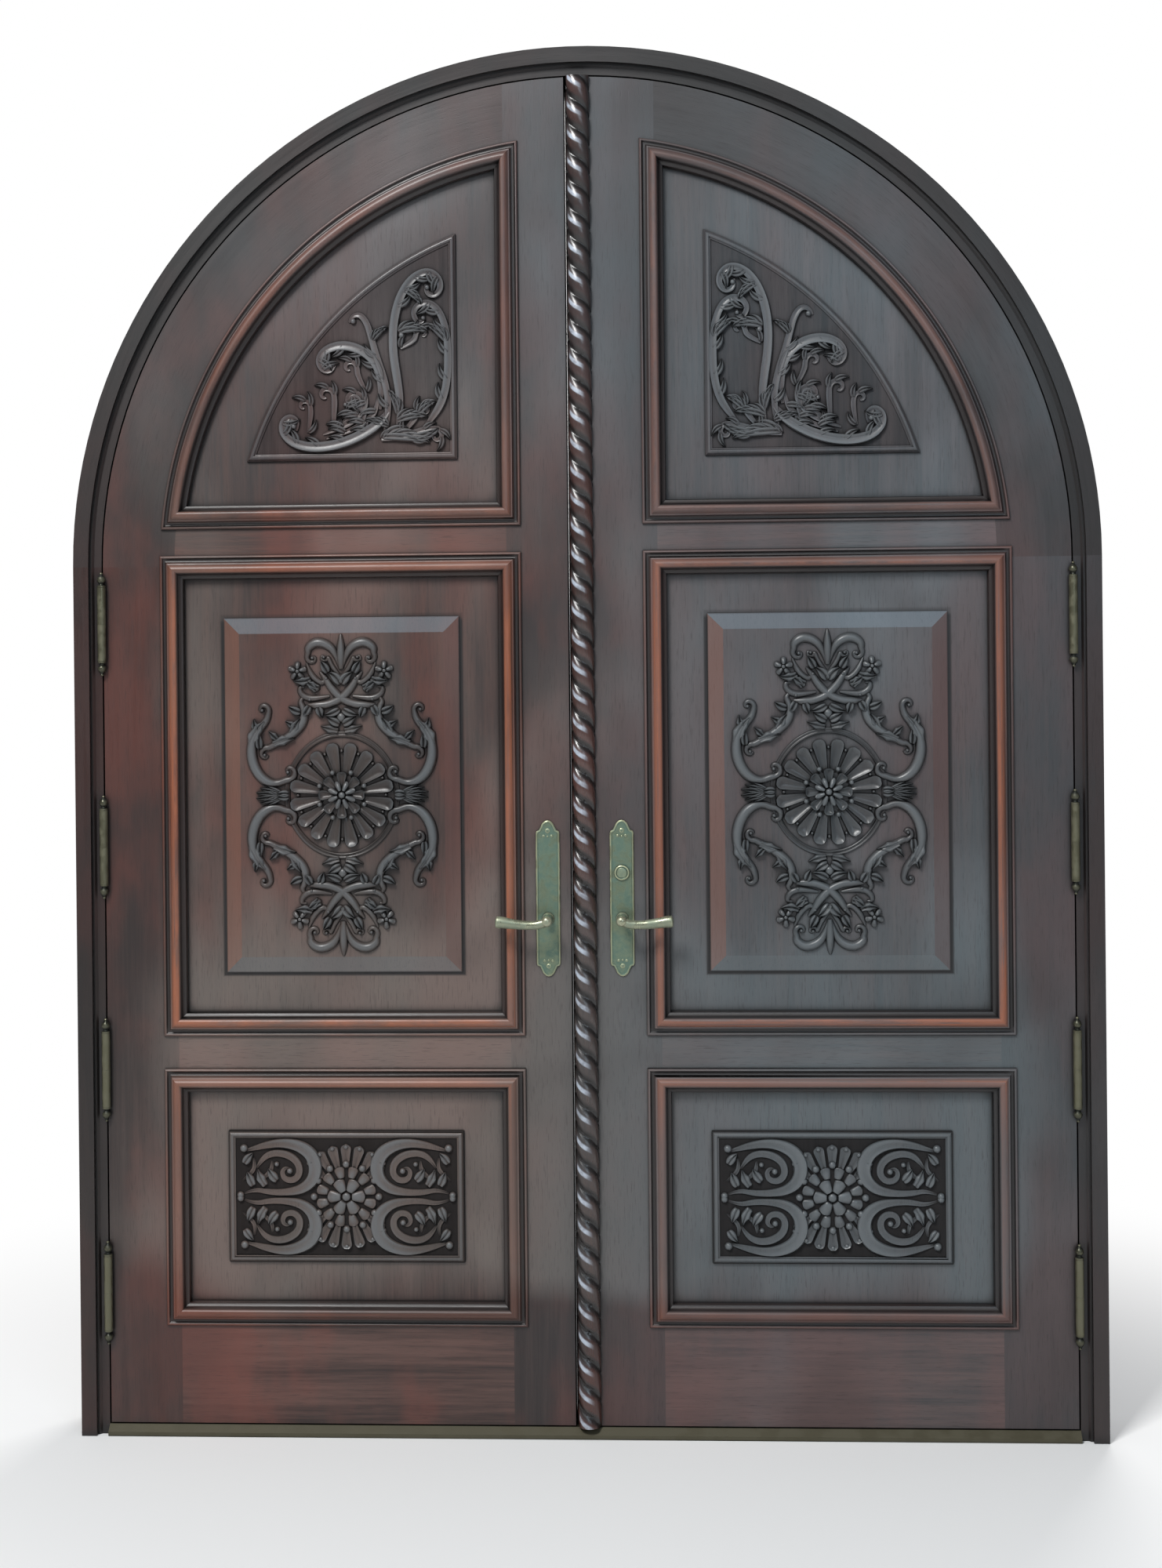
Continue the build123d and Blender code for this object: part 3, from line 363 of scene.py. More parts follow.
def varnished(name, direction, tones, bloom_sheen_share=0.6, reach=0.03, gloss=0.42, coat=0.12, more=None,
              carved=None):
    """Stained and varnished wood in a dark, a light and a red tone.

    The share after the tones is the strength of the varnish's bloom and painted sheen, and reach
    how far painted shade reaches from a corner. more adds one kind of piece's own marks and painted
    light and shade. carved gives a carving's ground and crest, as depths, and the strength of the
    painted shade on its ground; its crests get a painted highlight.
    """
    material, tree, shader = new_material(name)
    dark, light, red = (colour(*tone) for tone in tones)
    figure = place_group(tree, grain, {"Run": run_of(tree, direction)})
    tone = place_group(tree, patches, {"Place": place_of(tree)})
    depth = place_group(tree, recess, {"Reach": reach})
    warm = plus(tree, times(tree, tone["Cool"], -0.5), 0.75)
    # Bloom with a painted sheen, bluer under the painted cool sky reflection, then that painted
    # reflection again on the right leaf and head.
    bloom_and_sheen = blended(tree, tone["Cool"], warm_bloom_and_sheen, painted_blue_sheen)
    body = blended(tree, figure["Figure"], dark, light)
    body = overlaid(tree, body, tone["Red"], warm, red)
    body = overlaid(tree, body, tone["BloomAndSheen"], bloom_sheen_share, bloom_and_sheen)
    body = overlaid(tree, body, tone["Cool"], bloom_sheen_share / 2, painted_blue_sheen)
    body = overlaid(tree, body, tone["Deep"], 0.35, dark)
    body = overlaid(tree, body, figure["Pores"], 0.35, dark)
    if more:
        body = more(tree, body)
    polish = spread(tree, figure["Figure"], 0.0, 1.0, gloss + 0.08, gloss - 0.06)
    shader.inputs["Coat Weight"].default_value = coat
    shader.inputs["Coat Roughness"].default_value = 0.26
    if carved:
        ground, crest, ground_shade = carved
        low, high = carved_depths(tree, ground, crest)
        # Painted shade on the carving's ground and a painted highlight on its crests.
        body = overlaid(tree, body, low, ground_shade, colour(13, 8, 8))
        body = overlaid(tree, body, high, 0.6, painted_crest_highlight)
        polish = plus(tree, polish, times(tree, low, 0.4), True)
        feed(tree, shader, {
            "Coat Weight": spread(tree, low, 0.0, 1.0, coat, 0.0), "Specular IOR Level": 0.35})
    # Painted shade: the wood darkens in corners and hollows.
    body = overlaid(tree, body, depth["Recess"], 0.88, colour(9, 7, 7))
    feed(tree, shader, {"Base Color": body, "Roughness": polish, "Normal": figure["Normal"]})
    return material


def patinated(name, base, bright, dull, gloss=0.38, metal=0.75, spots=60):
    """Old brass with a grey-green skin, brighter where hands and edges rub it."""
    material, tree, shader = new_material(name)
    base, bright, dull = (colour(*tone) for tone in (base, bright, dull))
    place = place_of(tree)
    depth = place_group(tree, recess, {"Reach": 0.006})
    skin = spread(tree, noise(tree, place, spots, 5, 0.6), 0.35, 0.65)
    speck = spread(tree, noise(tree, place, spots * 9, 3, 0.6), 0.5, 0.7)
    body = blended(tree, skin, base, dull)
    body = overlaid(tree, body, speck, 0.3, dull)
    body = blended(tree, depth["Ridge"], body, bright)
    body = overlaid(tree, body, depth["Recess"], 0.8, colour(24, 26, 20))
    bump = add(tree, "ShaderNodeBump", {"Strength": 0.12, "Distance": 0.0004, "Height": speck})
    feed(tree, shader, {
        "Base Color": body, "Roughness": spread(tree, skin, 0.0, 1.0, gloss - 0.08, gloss + 0.16),
        "Metallic": spread(tree, skin, 0.0, 1.0, metal, metal - 0.25),
        "Normal": bump.outputs["Normal"]})
    return material


def brushed_steel():
    material, tree, shader = new_material("brushed_lock_steel")
    lines = noise(tree, stretched(tree, place_of(tree), (1, 1, 0.03)), 900, 2, 0.5)
    feed(tree, shader, {
        "Base Color": blended(tree, lines, colour(120, 120, 118), colour(172, 172, 168)),
        "Roughness": spread(tree, lines, 0.3, 0.7, 0.28, 0.45), "Metallic": 0.95})
    return material


def seal_rubber():
    material, tree, shader = new_material("black_seal")
    fine = noise(tree, place_of(tree), 400, 3, 0.5)
    feed(tree, shader, {
        "Base Color": blended(tree, fine, colour(16, 16, 16), colour(38, 38, 38)),
        "Roughness": spread(tree, fine, 0.3, 0.7, 0.6, 0.8)})
    return material


# Each wood's dark, light and red tone
brown_dark = (28, 19, 18)
red_brown = (84, 44, 36)
woods = {
    "stile": varnished("stile_varnish", "upright", (brown_dark, (54, 40, 37), red_brown), 0.56),
    "rail": varnished("rail_varnish", "level", ((34, 23, 21), (90, 64, 57), (106, 56, 46))),
    "arched": varnished(
        "arched_rail_varnish", "round", (brown_dark, (40, 31, 29), red_brown), 0.3, gloss=0.52,
        coat=0.03),
    "panel": varnished(
        "panel_varnish", "upright", ((32, 23, 22), (74, 56, 51), (90, 48, 39)), 0.6, 0.022,
        more=field_lines),
    "jamb": varnished("jamb_varnish", "upright", ((18, 13, 12), (36, 26, 23), (52, 27, 23)), 0.15),
    "arch": varnished(
        "arch_varnish", "round", ((12, 9, 9), (24, 17, 15), (42, 22, 19)), 0.08, gloss=0.6, coat=0),
    "moulding": varnished(
        "moulding_varnish", "moulded", ((34, 21, 19), (88, 60, 52), (110, 58, 42)), 0.45, 0.014,
        more=moulded_lines),
    "tablet": varnished(
        "tablet_varnish", "upright", ((26, 20, 19), (58, 46, 43), (66, 40, 34)), 0.4, 0.006,
        0.44, 0.25, carved=(-tablet_ground, 0.057, 0.92)),
    "vine": varnished(
        "vine_tablet_varnish", "upright", ((34, 25, 25), (70, 55, 53), (80, 50, 44)), 0.45, 0.011,
        0.42, 0.25, carved=(-tablet_ground, 0.0585, 0.3)),
    "onlay": varnished(
        "onlay_varnish", "upright", ((18, 14, 14), (46, 38, 36), (52, 34, 30)), 0.35, 0.009,
        0.42, 0.3, carved=(-field_face, 0.0655, 0.92)),
    "rope": varnished(
        "rope_varnish", "upright", ((24, 14, 12), (62, 39, 32), (78, 38, 29)), 0.15, 0.012,
        0.3, 0.45, rope_lines),
}
lever_brass = patinated(
    "lever_brass", (136, 141, 120), (190, 188, 160), (108, 121, 106), gloss=0.34)
handle_brass = patinated("handle_brass", (124, 136, 114), (182, 184, 150), (92, 114, 101))
hinge_brass = patinated("hinge_brass", (52, 53, 45), (100, 98, 80), (34, 37, 32))
sill_brass = patinated("sill_brass", (24, 24, 20), (74, 70, 54), (14, 14, 13), 0.55, 0.4, 18)
steel = brushed_steel()
rubber = seal_rubber()

# Starts of the CAD nodes' names, and the finish of each kind
finish_of = {
    "jamb": woods["jamb"], "arch_head": woods["arch"], "arched_rail": woods["arched"],
    "threshold": sill_brass, "frame_seal": rubber, "rope_astragal": woods["rope"],
    "upper_tablet": woods["vine"], "middle_onlay": woods["onlay"], "lower_tablet": woods["tablet"],
    "hinge_stile": woods["stile"], "meeting_stile": woods["stile"],
    "hinge": hinge_brass, "lever": lever_brass,
}
for level in ("upper", "middle", "lower"):
    finish_of[f"{level}_panel"] = woods["panel"]
    finish_of[f"{level}_moulding"] = woods["moulding"]
for level in ("bottom", "lock", "cross"):
    finish_of[f"{level}_rail"] = woods["rail"]
for part in ("plate", "thumb_turn", "key_cylinder"):
    finish_of[part] = handle_brass
for part in ("spindle", "lock_case", "latch_bolt", "dead_bolt", "strike_plate", "bolt_case",
             "top_bolt", "bottom_bolt"):
    finish_of[part] = steel
for name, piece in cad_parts.items():
    start = max((key for key in finish_of if name.startswith(key)), key=len)
    piece.data.materials.clear()
    piece.data.materials.append(finish_of[start])

# Mesh helpers


def placed(name, data):
    """An object for a mesh, curve, lamp or camera, in the scene."""
    made = bpy.data.objects.new(name, data)
    bpy.context.scene.collection.objects.link(made)
    return made


def finished(name, bm, material, body, nodes=(), smooth=40):
    """Makes a piece of a mesh: normals out, smooth up to an angle, on its body."""
    bmesh.ops.remove_doubles(bm, verts=bm.verts, dist=1e-6)
    bmesh.ops.recalc_face_normals(bm, faces=bm.faces)
    mesh = bpy.data.meshes.new(name)
    bm.to_mesh(mesh)
    bm.free()
    mesh.materials.append(material)
    mesh.shade_smooth()
    mesh.set_sharp_from_angle(angle=radians(smooth))
    piece = placed(name, mesh)
    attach(piece, body)
    if nodes:
        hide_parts(*nodes)


def mirrored(bm, factors=(-1, 1, 1)):
    """The twin of a mesh, as a rule on the other side of the meeting line."""
    twin = bm.copy()
    bmesh.ops.scale(twin, vec=factors, verts=twin.verts)
    bmesh.ops.reverse_faces(twin, faces=twin.faces)
    return twin


def finished_pair(name, bm, wood, node, smooth):
    """The right leaf's piece and its twin on the left leaf."""
    for side, half in (("left", mirrored(bm)), ("right", bm)):
        finished(
            f"{name}_{side}", half, woods[wood], f"leaf_{side}", [f"{node}_{side}"], smooth)


def join_into(bm, other):
    mesh = bpy.data.meshes.new("joined")
    other.to_mesh(mesh)
    bm.from_mesh(mesh)
    bpy.data.meshes.remove(mesh)
    other.free()


def verts_of(made):
    return [item for item in made["geom"] if isinstance(item, bmesh.types.BMVert)]


def close_holes(bm, verts=None):
    """Closes what is open, all over or round some of the points."""
    edges = bm.edges if verts is None else dict.fromkeys(e for vert in verts for e in vert.link_edges)
    edges = [edge for edge in edges if edge.is_boundary]
    if edges:
        bmesh.ops.holes_fill(bm, edges=edges, sides=0)


def ring_of(bm, points):
    """Points joined by edges into a closed outline."""
    verts = [bm.verts.new(point) for point in points]
    return verts, [bm.edges.new(pair) for pair in zip(verts, verts[1:] + verts[:1])]


def drawn_out(bm, edges, run):
    """Pulls edges out into walls."""
    made = bmesh.ops.extrude_edge_only(bm, edges=edges)
    bmesh.ops.translate(bm, vec=run, verts=verts_of(made))


def rectangle(left, bottom, right, top):
    return [(left, bottom), (right, bottom), (right, top), (left, top)]


def quarter_round(left, bottom, radius):
    """Lower left corner, foot and head of the arc of a shape under the round head."""
    foot = sqrt(radius**2 - (bottom - head_height) ** 2)
    head = head_height + sqrt(radius**2 - left**2)
    return [(left, bottom), (foot, bottom), (left, head)]


# Mouldings. Sections are in millimetres, from the outer edge inwards and out of the face.

bolection = [
    (0, 0), (0, 3.2), (1.1, 5.2), (3, 6), (4.8, 5.3), (5.8, 3.4), (8, 2.6), (11, 3), (13, 5),
    (14.2, 8.4), (15, 11.4), (16.8, 11.6), (18, 13), (20.5, 15.8), (24, 17.6), (27, 18),
    (30, 17.4), (33, 15.2), (34.6, 12.4), (35.4, 11.4), (36, 8), (38, 5.4), (41, 3.6),
    (43.6, 2.6), (44, 0.4), (45, -1.2), (45, -10), (28, -10), (28, 0)]
tablet_edge = [
    (0, 0), (0, 4.4), (0.8, 5), (2, 5.2), (2.6, 6.6), (4.2, 8.2), (6.4, 9), (9, 8.8),
    (10.4, 7.8), (11, 6.6), (12.4, 6.4), (13.6, 5.4), (14.4, 4), (14.4, 0)]


def record_run(bm, along, across, out):
    """Keeps, on each point, where it lies across, out of and along a length of moulding."""
    layer = bm.verts.layers.float_vector.new("run")
    for vert in bm.verts:
        vert[layer] = (across(vert.co), out(vert.co), along(vert.co))


def cut_back(bm, corner, inner, keep):
    """Mitres a length along the line from its outer corner to its inner one, keeping keep's side."""
    line = Vector((inner[0] - corner[0], 0, inner[1] - corner[1]))
    normal = line.cross(Vector((0, 1, 0))).normalized()
    origin = Vector((corner[0], 0, corner[1]))
    if normal.dot(Vector((keep[0], 0, keep[1])) - origin) > 0:
        normal.negate()
    bmesh.ops.bisect_plane(
        bm, geom=bm.verts[:] + bm.edges[:] + bm.faces[:], dist=1e-7, plane_co=origin,
        plane_no=normal, clear_outer=True)


def straight_length(section, start, end, inward, face, out):
    """A straight length between two corners, a little too long at both ends for its mitres."""
    bm = bmesh.new()
    run = Vector((end[0] - start[0], 0, end[1] - start[1]))
    direction = run.normalized()
    extra = direction * 2 * mm
    first = Vector((start[0], 0, start[1])) - extra
    edges = ring_of(bm, [
        (first.x + inward[0] * across * mm, face + out * rise * mm, first.z + inward[1] * across * mm)
        for across, rise in section])[1]
    drawn_out(bm, edges, run + 2 * extra)
    record_run(
        bm, lambda co: co.dot(direction),
        lambda co: (co.x - start[0]) * inward[0] + (co.z - start[1]) * inward[1],
        lambda co: (co.y - face) * out)
    return bm


def arched_length(section, radius, face, out, start_angle, end_angle):
    """A length bent round the head's centre."""
    bm = bmesh.new()
    reaches = [(radius - across * mm, rise * mm) for across, rise in section]
    verts, edges = ring_of(bm, [
        (reach * cos(start_angle), face + out * rise, head_height + reach * sin(start_angle))
        for reach, rise in reaches])
    bmesh.ops.spin(
        bm, geom=verts + edges, cent=(0, 0, head_height), axis=(0, -1, 0),
        angle=end_angle - start_angle, steps=56, use_duplicate=False)
    record_run(
        bm, lambda co: radius * atan2(co.x, co.z - head_height),
        lambda co: radius - hypot(co.x, co.z - head_height), lambda co: (co.y - face) * out)
    return bm


def framed(section, corners, inner, face, out, radius=None):
    """A mitred moulding. Corners run anticlockwise from the lower left.

    With a radius, the second side is round.
    """
    whole = bmesh.new()
    for index, (start, end) in enumerate(zip(corners, corners[1:] + corners[:1])):
        if radius and index == 1:
            angles = [atan2(z - head_height, x) for x, z in (start, end)]
            over = 0.002
            length = arched_length(section, radius, face, out, angles[0] - over, angles[1] + over)
            half = sum(angles) / 2
            keep = (radius * cos(half), head_height + radius * sin(half))
        else:
            run = Vector((end[0] - start[0], end[1] - start[1])).normalized()
            length = straight_length(section, start, end, (-run.y, run.x), face, out)
            keep = ((start[0] + end[0]) / 2, (start[1] + end[1]) / 2)
        cut_back(length, start, inner[index], keep)
        cut_back(length, end, inner[(index + 1) % len(inner)], keep)
        close_holes(length)
        join_into(whole, length)
    return whole


def opening_corners(level, inset):
    """Corners of one of the right leaf's mouldings, moved in from its outer edge, and its radius."""
    low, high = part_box(f"{level}_moulding_right")
    left, bottom = low.x + inset, low.z + inset
    if level == "upper":
        radius = upper_moulding_radius - inset
        return quarter_round(left, bottom, radius), radius
    return rectangle(left, bottom, high.x - inset, high.z - inset), None


for level in ("upper", "middle", "lower"):
    outer, radius = opening_corners(level, 0)
    inner = opening_corners(level, bolection_width)[0]
    whole = framed(bolection, outer, inner, leaf_face, -1, radius)
    join_into(whole, framed(bolection, outer, inner, leaf_back, 1, radius))
    finished_pair(f"{level}_bolection", whole, "moulding", f"{level}_moulding", 50)

# Carving. Drawings are in millimetres: across, up and width, and are raised from a ground.

strap_section = [
    (-1, -0.5), (-1, 0.35), (-0.86, 0.72), (-0.6, 0.78), (-0.35, 0.5), (0.0, 0.42), (0.3, 0.7),
    (0.55, 1.05), (0.8, 0.9), (1, 0.35), (1, -0.5)]
flat_section = [
    (-1, -0.5), (-1, 0.4), (-0.84, 0.86), (-0.6, 0.8), (-0.3, 0.66), (0.1, 0.74), (0.5, 0.98),
    (0.82, 0.96), (1, 0.5), (1, -0.5)]
round_section = [
    (-1, -0.5), (-1, 0.3), (-0.7, 0.75), (-0.3, 1.0), (0.1, 1.05), (0.5, 0.9), (0.85, 0.5),
    (1, 0.1), (1, -0.5)]
sunk = -0.8  # how far the edges of leaves and petals go under the ground


def raise_lines(bm, lines, section, height=1.0, closed=False, resolution=5, bold=1.0):
    """Sweeps a section along drawn lines whose points carry a width. The lines lie in X and Y."""
    shape = bpy.data.curves.new("section", "CURVE")
    outline = shape.splines.new("POLY")
    outline.points.add(len(section) - 1)
    for point, (across, rise) in zip(outline.points, section):
        point.co = (across, rise * height, 0, 1)
    outline.use_cyclic_u = True
    section_holder = placed("section", shape)
    curve = bpy.data.curves.new("lines", "CURVE")
    curve.dimensions = "3D"
    curve.twist_mode = "Z_UP"
    curve.resolution_u = resolution
    curve.bevel_mode = "OBJECT"
    curve.bevel_object = section_holder
    curve.use_fill_caps = True
    for line in lines:
        spline = curve.splines.new("NURBS")
        spline.points.add(len(line) - 1)
        for point, (x, y, width) in zip(spline.points, line):
            point.co = (x * mm, y * mm, 0, 1)
            point.radius = bold * width * mm / 2
        spline.use_cyclic_u = closed
        spline.use_endpoint_u = not closed
        spline.order_u = 3
    lines_holder = placed("lines", curve)
    bpy.context.view_layer.update()
    ready = lines_holder.evaluated_get(bpy.context.evaluated_depsgraph_get())
    mesh = bpy.data.meshes.new_from_object(ready)
    bm.from_mesh(mesh)
    bpy.data.meshes.remove(mesh)
    bpy.data.objects.remove(lines_holder)
    bpy.data.objects.remove(section_holder)


def raise_leaf(bm, x, y, angle, length, width, height, lobes=3, bend=0.0):
    """A carved leaf: a sunk middle vein, rounded halves and scalloped edges."""
    grid = bmesh.ops.create_grid(bm, x_segments=14, y_segments=8, size=1)["verts"]
    for vert in grid:
        along = (vert.co.x + 1) / 2
        across = vert.co.y
        edge = abs(across)
        half = width / 2 * sin(pi * min(1, 0.12 + 0.88 * along)) ** 0.6 * (1 - 0.75 * along**3)
        half *= 1 - 0.22 * abs(sin(pi * lobes * along))
        vein, turn = radians(angle + bend * along / 2), radians(angle + bend * along)
        px = x + length * along * cos(vein) - half * across * sin(turn)
        py = y + length * along * sin(vein) + half * across * cos(turn)
        rise = height * (0.65 + 0.35 * min(1, edge * 2.2)) * (1 - max(0, edge - 0.55) ** 2 * 4)
        rise *= 0.35 + 0.65 * sin(pi * (0.15 + 0.7 * along))
        rise += 0.12 * height * cos(2 * pi * lobes * along) * edge
        if edge > 0.99 or along < 0.01 or along > 0.99:
            rise = sunk
        vert.co = (px * mm, py * mm, rise * mm)
    close_holes(bm, grid)


def raise_petal(bm, angle, inner, outer, width, height, centre=(0, 0), hollow=True):
    """A petal of a rosette: spooned with a raised rim, or plump."""
    grid = bmesh.ops.create_grid(bm, x_segments=12, y_segments=10, size=1)["verts"]
    for vert in grid:
        along = 1 - ((1 - vert.co.x) / 2) ** 1.7
        across = vert.co.y
        edge = abs(across)
        tip = sqrt(max(0, 1 - max(0, (along - 0.78) / 0.22) ** 2))
        flare = 0.34 + 0.66 * along**0.9 if hollow else 0.4 + 0.6 * along**0.6
        half = width / 2 * flare * tip
        reach = inner + (outer - inner) * along
        px = centre[0] + reach * cos(angle) - half * across * sin(angle)
        py = centre[1] + reach * sin(angle) + half * across * cos(angle)
        if hollow:
            rim = max(edge**1.8, max(0, (along - 0.72) / 0.28) ** 2)
            rise = height * (0.32 + 0.8 * rim) * (0.72 + 0.28 * along)
        else:
            rise = height * (1 - 0.55 * edge**2) * (0.7 + 0.3 * sin(pi * min(1, 0.2 + along)))
        if edge > 0.99 or along < 0.01 or along > 0.99:
            rise = sunk
        vert.co = (px * mm, py * mm, rise * mm)
    close_holes(bm, grid)


def raise_acanthus(bm, x, y, angle, length, width, bend):
    """Half an acanthus leaf: a bent vein with lobes along its outer side that curl forward."""
    height = 8
    raise_leaf(bm, x, y, angle, length, 0.62 * width, height, 0, bend)
    side = -1 if bend > 0 else 1
    for i in range(4):
        along = 0.08 + 0.2 * i
        turn = radians(angle + bend * along / 2)
        reach = along * length
        raise_leaf(
            bm, x + reach * cos(turn), y + reach * sin(turn),
            angle + bend * along + side * (50 - 7 * i), (0.54 - 0.07 * i) * length, 0.58 * width,
            0.92 * height, 0, -side * 70)


def raise_leaves_along(bm, line, side, length, height):
    """Leaves that spring from one side of a drawn line and lean the way it runs."""
    for (x, y, _), (ahead_x, ahead_y, _) in zip(line, line[1:]):
        angle = degrees(atan2(ahead_y - y, ahead_x - x))
        raise_leaf(bm, x, y, angle + side * 62, length, 0.42 * length, height, 0, -side * 70)


def raise_bead(bm, x, y, radius, height):
    made = bmesh.ops.create_icosphere(bm, subdivisions=2, radius=1)["verts"]
    bmesh.ops.scale(bm, vec=(radius * mm, radius * mm, height * mm), verts=made)
    bmesh.ops.translate(bm, vec=(x * mm, y * mm, 0), verts=made)


def spiral(x, y, radius, start, sweep, width, steps=9):
    """Points of a scroll's eye, from its middle out to (radius, start + sweep)."""
    points = []
    for i in range(steps + 1):
        share = i / steps
        angle = radians(start + sweep * share)
        reach = radius * (0.22 + 0.78 * share)
        points.append((x + reach * cos(angle), y + reach * sin(angle), width * (0.55 + 0.45 * share)))
    return points


def four_times(quarter):
    """A quarter of an ornament with its mirror images across and up."""
    for factors in ((-1, 1, 1), (1, -1, 1)):
        join_into(quarter, mirrored(quarter, factors))
    return quarter


def stand_up(bm, x, z, ground):
    """Turns a drawing upright, so that it faces outwards from a ground at a place."""
    bmesh.ops.rotate(bm, cent=(0, 0, 0), matrix=Matrix.Rotation(pi / 2, 3, "X"), verts=bm.verts)
    bmesh.ops.translate(bm, vec=(x, ground, z), verts=bm.verts)


# The middle panels' onlay


def onlay_quarter():
    """Scrolls, ribbons, leaves and flowers of one quarter of the onlay."""
    bm = bmesh.new()
    outer_scroll = [
        *spiral(102, 45, 17, 25, 262, 10, 12), (124, 22, 10), (140, 24, 13), (157, 36, 14.5),
        (169, 57, 15), (174, 82, 14.5), (170, 106, 13), (158, 126, 11.5), (143, 143, 10),
        *spiral(150, 163, 12, -60, 262, 8.5, 10)[::-1]]
    inner_scroll = spiral(145, 78, 14, -146, 262, 9, 10) + [
        (126, 98, 10), (108, 107, 12), (90, 120, 13), (75, 136, 13), (70, 153, 12), (74, 168, 10),
        (80, 181, 7), (69, 189, 3)]
    raise_lines(bm, [outer_scroll, inner_scroll], round_section, 1.0, bold=1.45)
    raise_lines(bm, [
        [(-40, 234, 4), (-30, 222, 9), (-18, 202, 11), (0, 183, 11), (24, 172, 11), (50, 170, 11),
         (64, 172, 5)],
        [(4, 246, 4), (9, 268, 9), (24, 286, 12), (46, 292, 12.5), (63, 281, 11)]
        + spiral(54, 261, 12.5, -215, 262, 8, 10)[::-1],
        spiral(33, 262, 9, 80, -262, 6, 10) + [(19, 248, 7), (11, 236, 7), (2, 226, 4)],
        [(66, 252, 3), (60, 234, 8), (48, 218, 9), (34, 212, 7), (26, 222, 4)],
        [(22, 188, 4), (44, 184, 8), (66, 184, 9), (80, 196, 8), (78, 208, 6), (70, 206, 4)],
    ], round_section, 0.95, bold=1.5)
    for x, y, turn, long, wide, lobes, bend in (
            (173, 92, 98, 52, 24, 3, 44), (160, 120, 60, 24, 14, 2, 30),
            (132, 96, 150, 40, 19, 2, 30), (96, 114, 110, 34, 18, 2, 20),
            (84, 128, 30, 24, 13, 2, 0), (120, 104, 44, 24, 13, 2, 0),
            (56, 222, -30, 32, 16, 2, 50), (60, 170, -60, 22, 14, 0, 0),
            (44, 168, -110, 20, 14, 0, 0), (76, 158, 6, 24, 14, 0, 40),
            (156, 88, 80, 26, 13, 0, 20), (40, 204, 10, 30, 15, 2, 40),
            (46, 196, 60, 26, 14, 2, -30), (24, 232, 60, 24, 14, 0, 0)):
        raise_leaf(bm, x, y, turn, 1.15 * long, 1.3 * wide, 11.5, lobes, bend)
    for i in range(5):
        raise_petal(bm, radians(72 * i + 20), 3, 18, 14, 9, (83, 236), hollow=False)
    for x, y, radius in (
            (103, 44, 4.5), (147, 77, 4), (151, 162, 4), (60, 182, 4), (54, 261, 4), (83, 236, 6),
            (32, 262, 3.5), (28, 222, 4)):
        raise_bead(bm, x, y, radius, 9)
    for x, y, turn, long, wide, height, lobes, bend in (
            (114, 2, 4, 52, 14, 10, 0, 0), (114, 2, 16, 46, 14, 10, 0, 0),
            (114, 2, 28, 36, 14, 10, 0, 0), (100, 3, 0, 26, 18, 11, 0, 0),
            (4, 122, 8, 38, 20, 9, 2, 14), (2, 134, 25, 30, 20, 10, 0, 10),
            (2, 164, -40, 34, 18, 10, 0, 40)):
        raise_leaf(bm, x, y, turn, long, wide, height, lobes, bend)
    return bm


def raise_rosette(bm):
    """Oval ring, sixteen spooned petals and the flower in their middle."""
    ring = [(106 * sin(2 * pi * i / 20), 117 * cos(2 * pi * i / 20), 11) for i in range(20)]
    raise_lines(bm, [ring], strap_section, 0.8, closed=True)
    petals = 16
    for i in range(petals):
        angle = 2 * pi * (i + 0.5) / petals
        between = angle + pi / petals
        raise_petal(bm, angle, 36, 99 + 2 * cos(4 * angle), 33, 9.5)
        raise_bead(bm, 84 * cos(between), 84 * sin(between), 4, 7)
    for i in range(8):
        angle = 2 * pi * i / 8
        between = angle + pi / 8
        raise_petal(bm, angle, 14, 44, 25, 11)
        raise_petal(bm, between, 6, 28, 15, 12, hollow=False)
        raise_bead(bm, 46 * cos(between), 46 * sin(between), 6, 11)
    raise_bead(bm, 0, 0, 9, 12.5)


def middle_ornament():
    """The whole onlay, from a quarter, an upright half and the rosette."""
    bm = four_times(onlay_quarter())
    half = bmesh.new()
    stem = [(0, 240, 7), (0, 256, 11), (0, 276, 12), (0, 296, 8), (0, 306, 3)]
    raise_lines(half, [stem], round_section, 0.9, bold=1.5)
    raise_bead(half, 0, 148, 11, 10)
    raise_bead(half, 0, 222, 8, 8)
    raise_leaf(half, 0, 210, 115, 34, 22, 10, 0, 40)
    raise_leaf(half, 0, 210, 65, 34, 22, 10, 0, -40)
    join_into(half, mirrored(half, (1, -1, 1)))
    join_into(bm, half)
    raise_rosette(bm)
    return bm


# The lower and upper panels' tablets


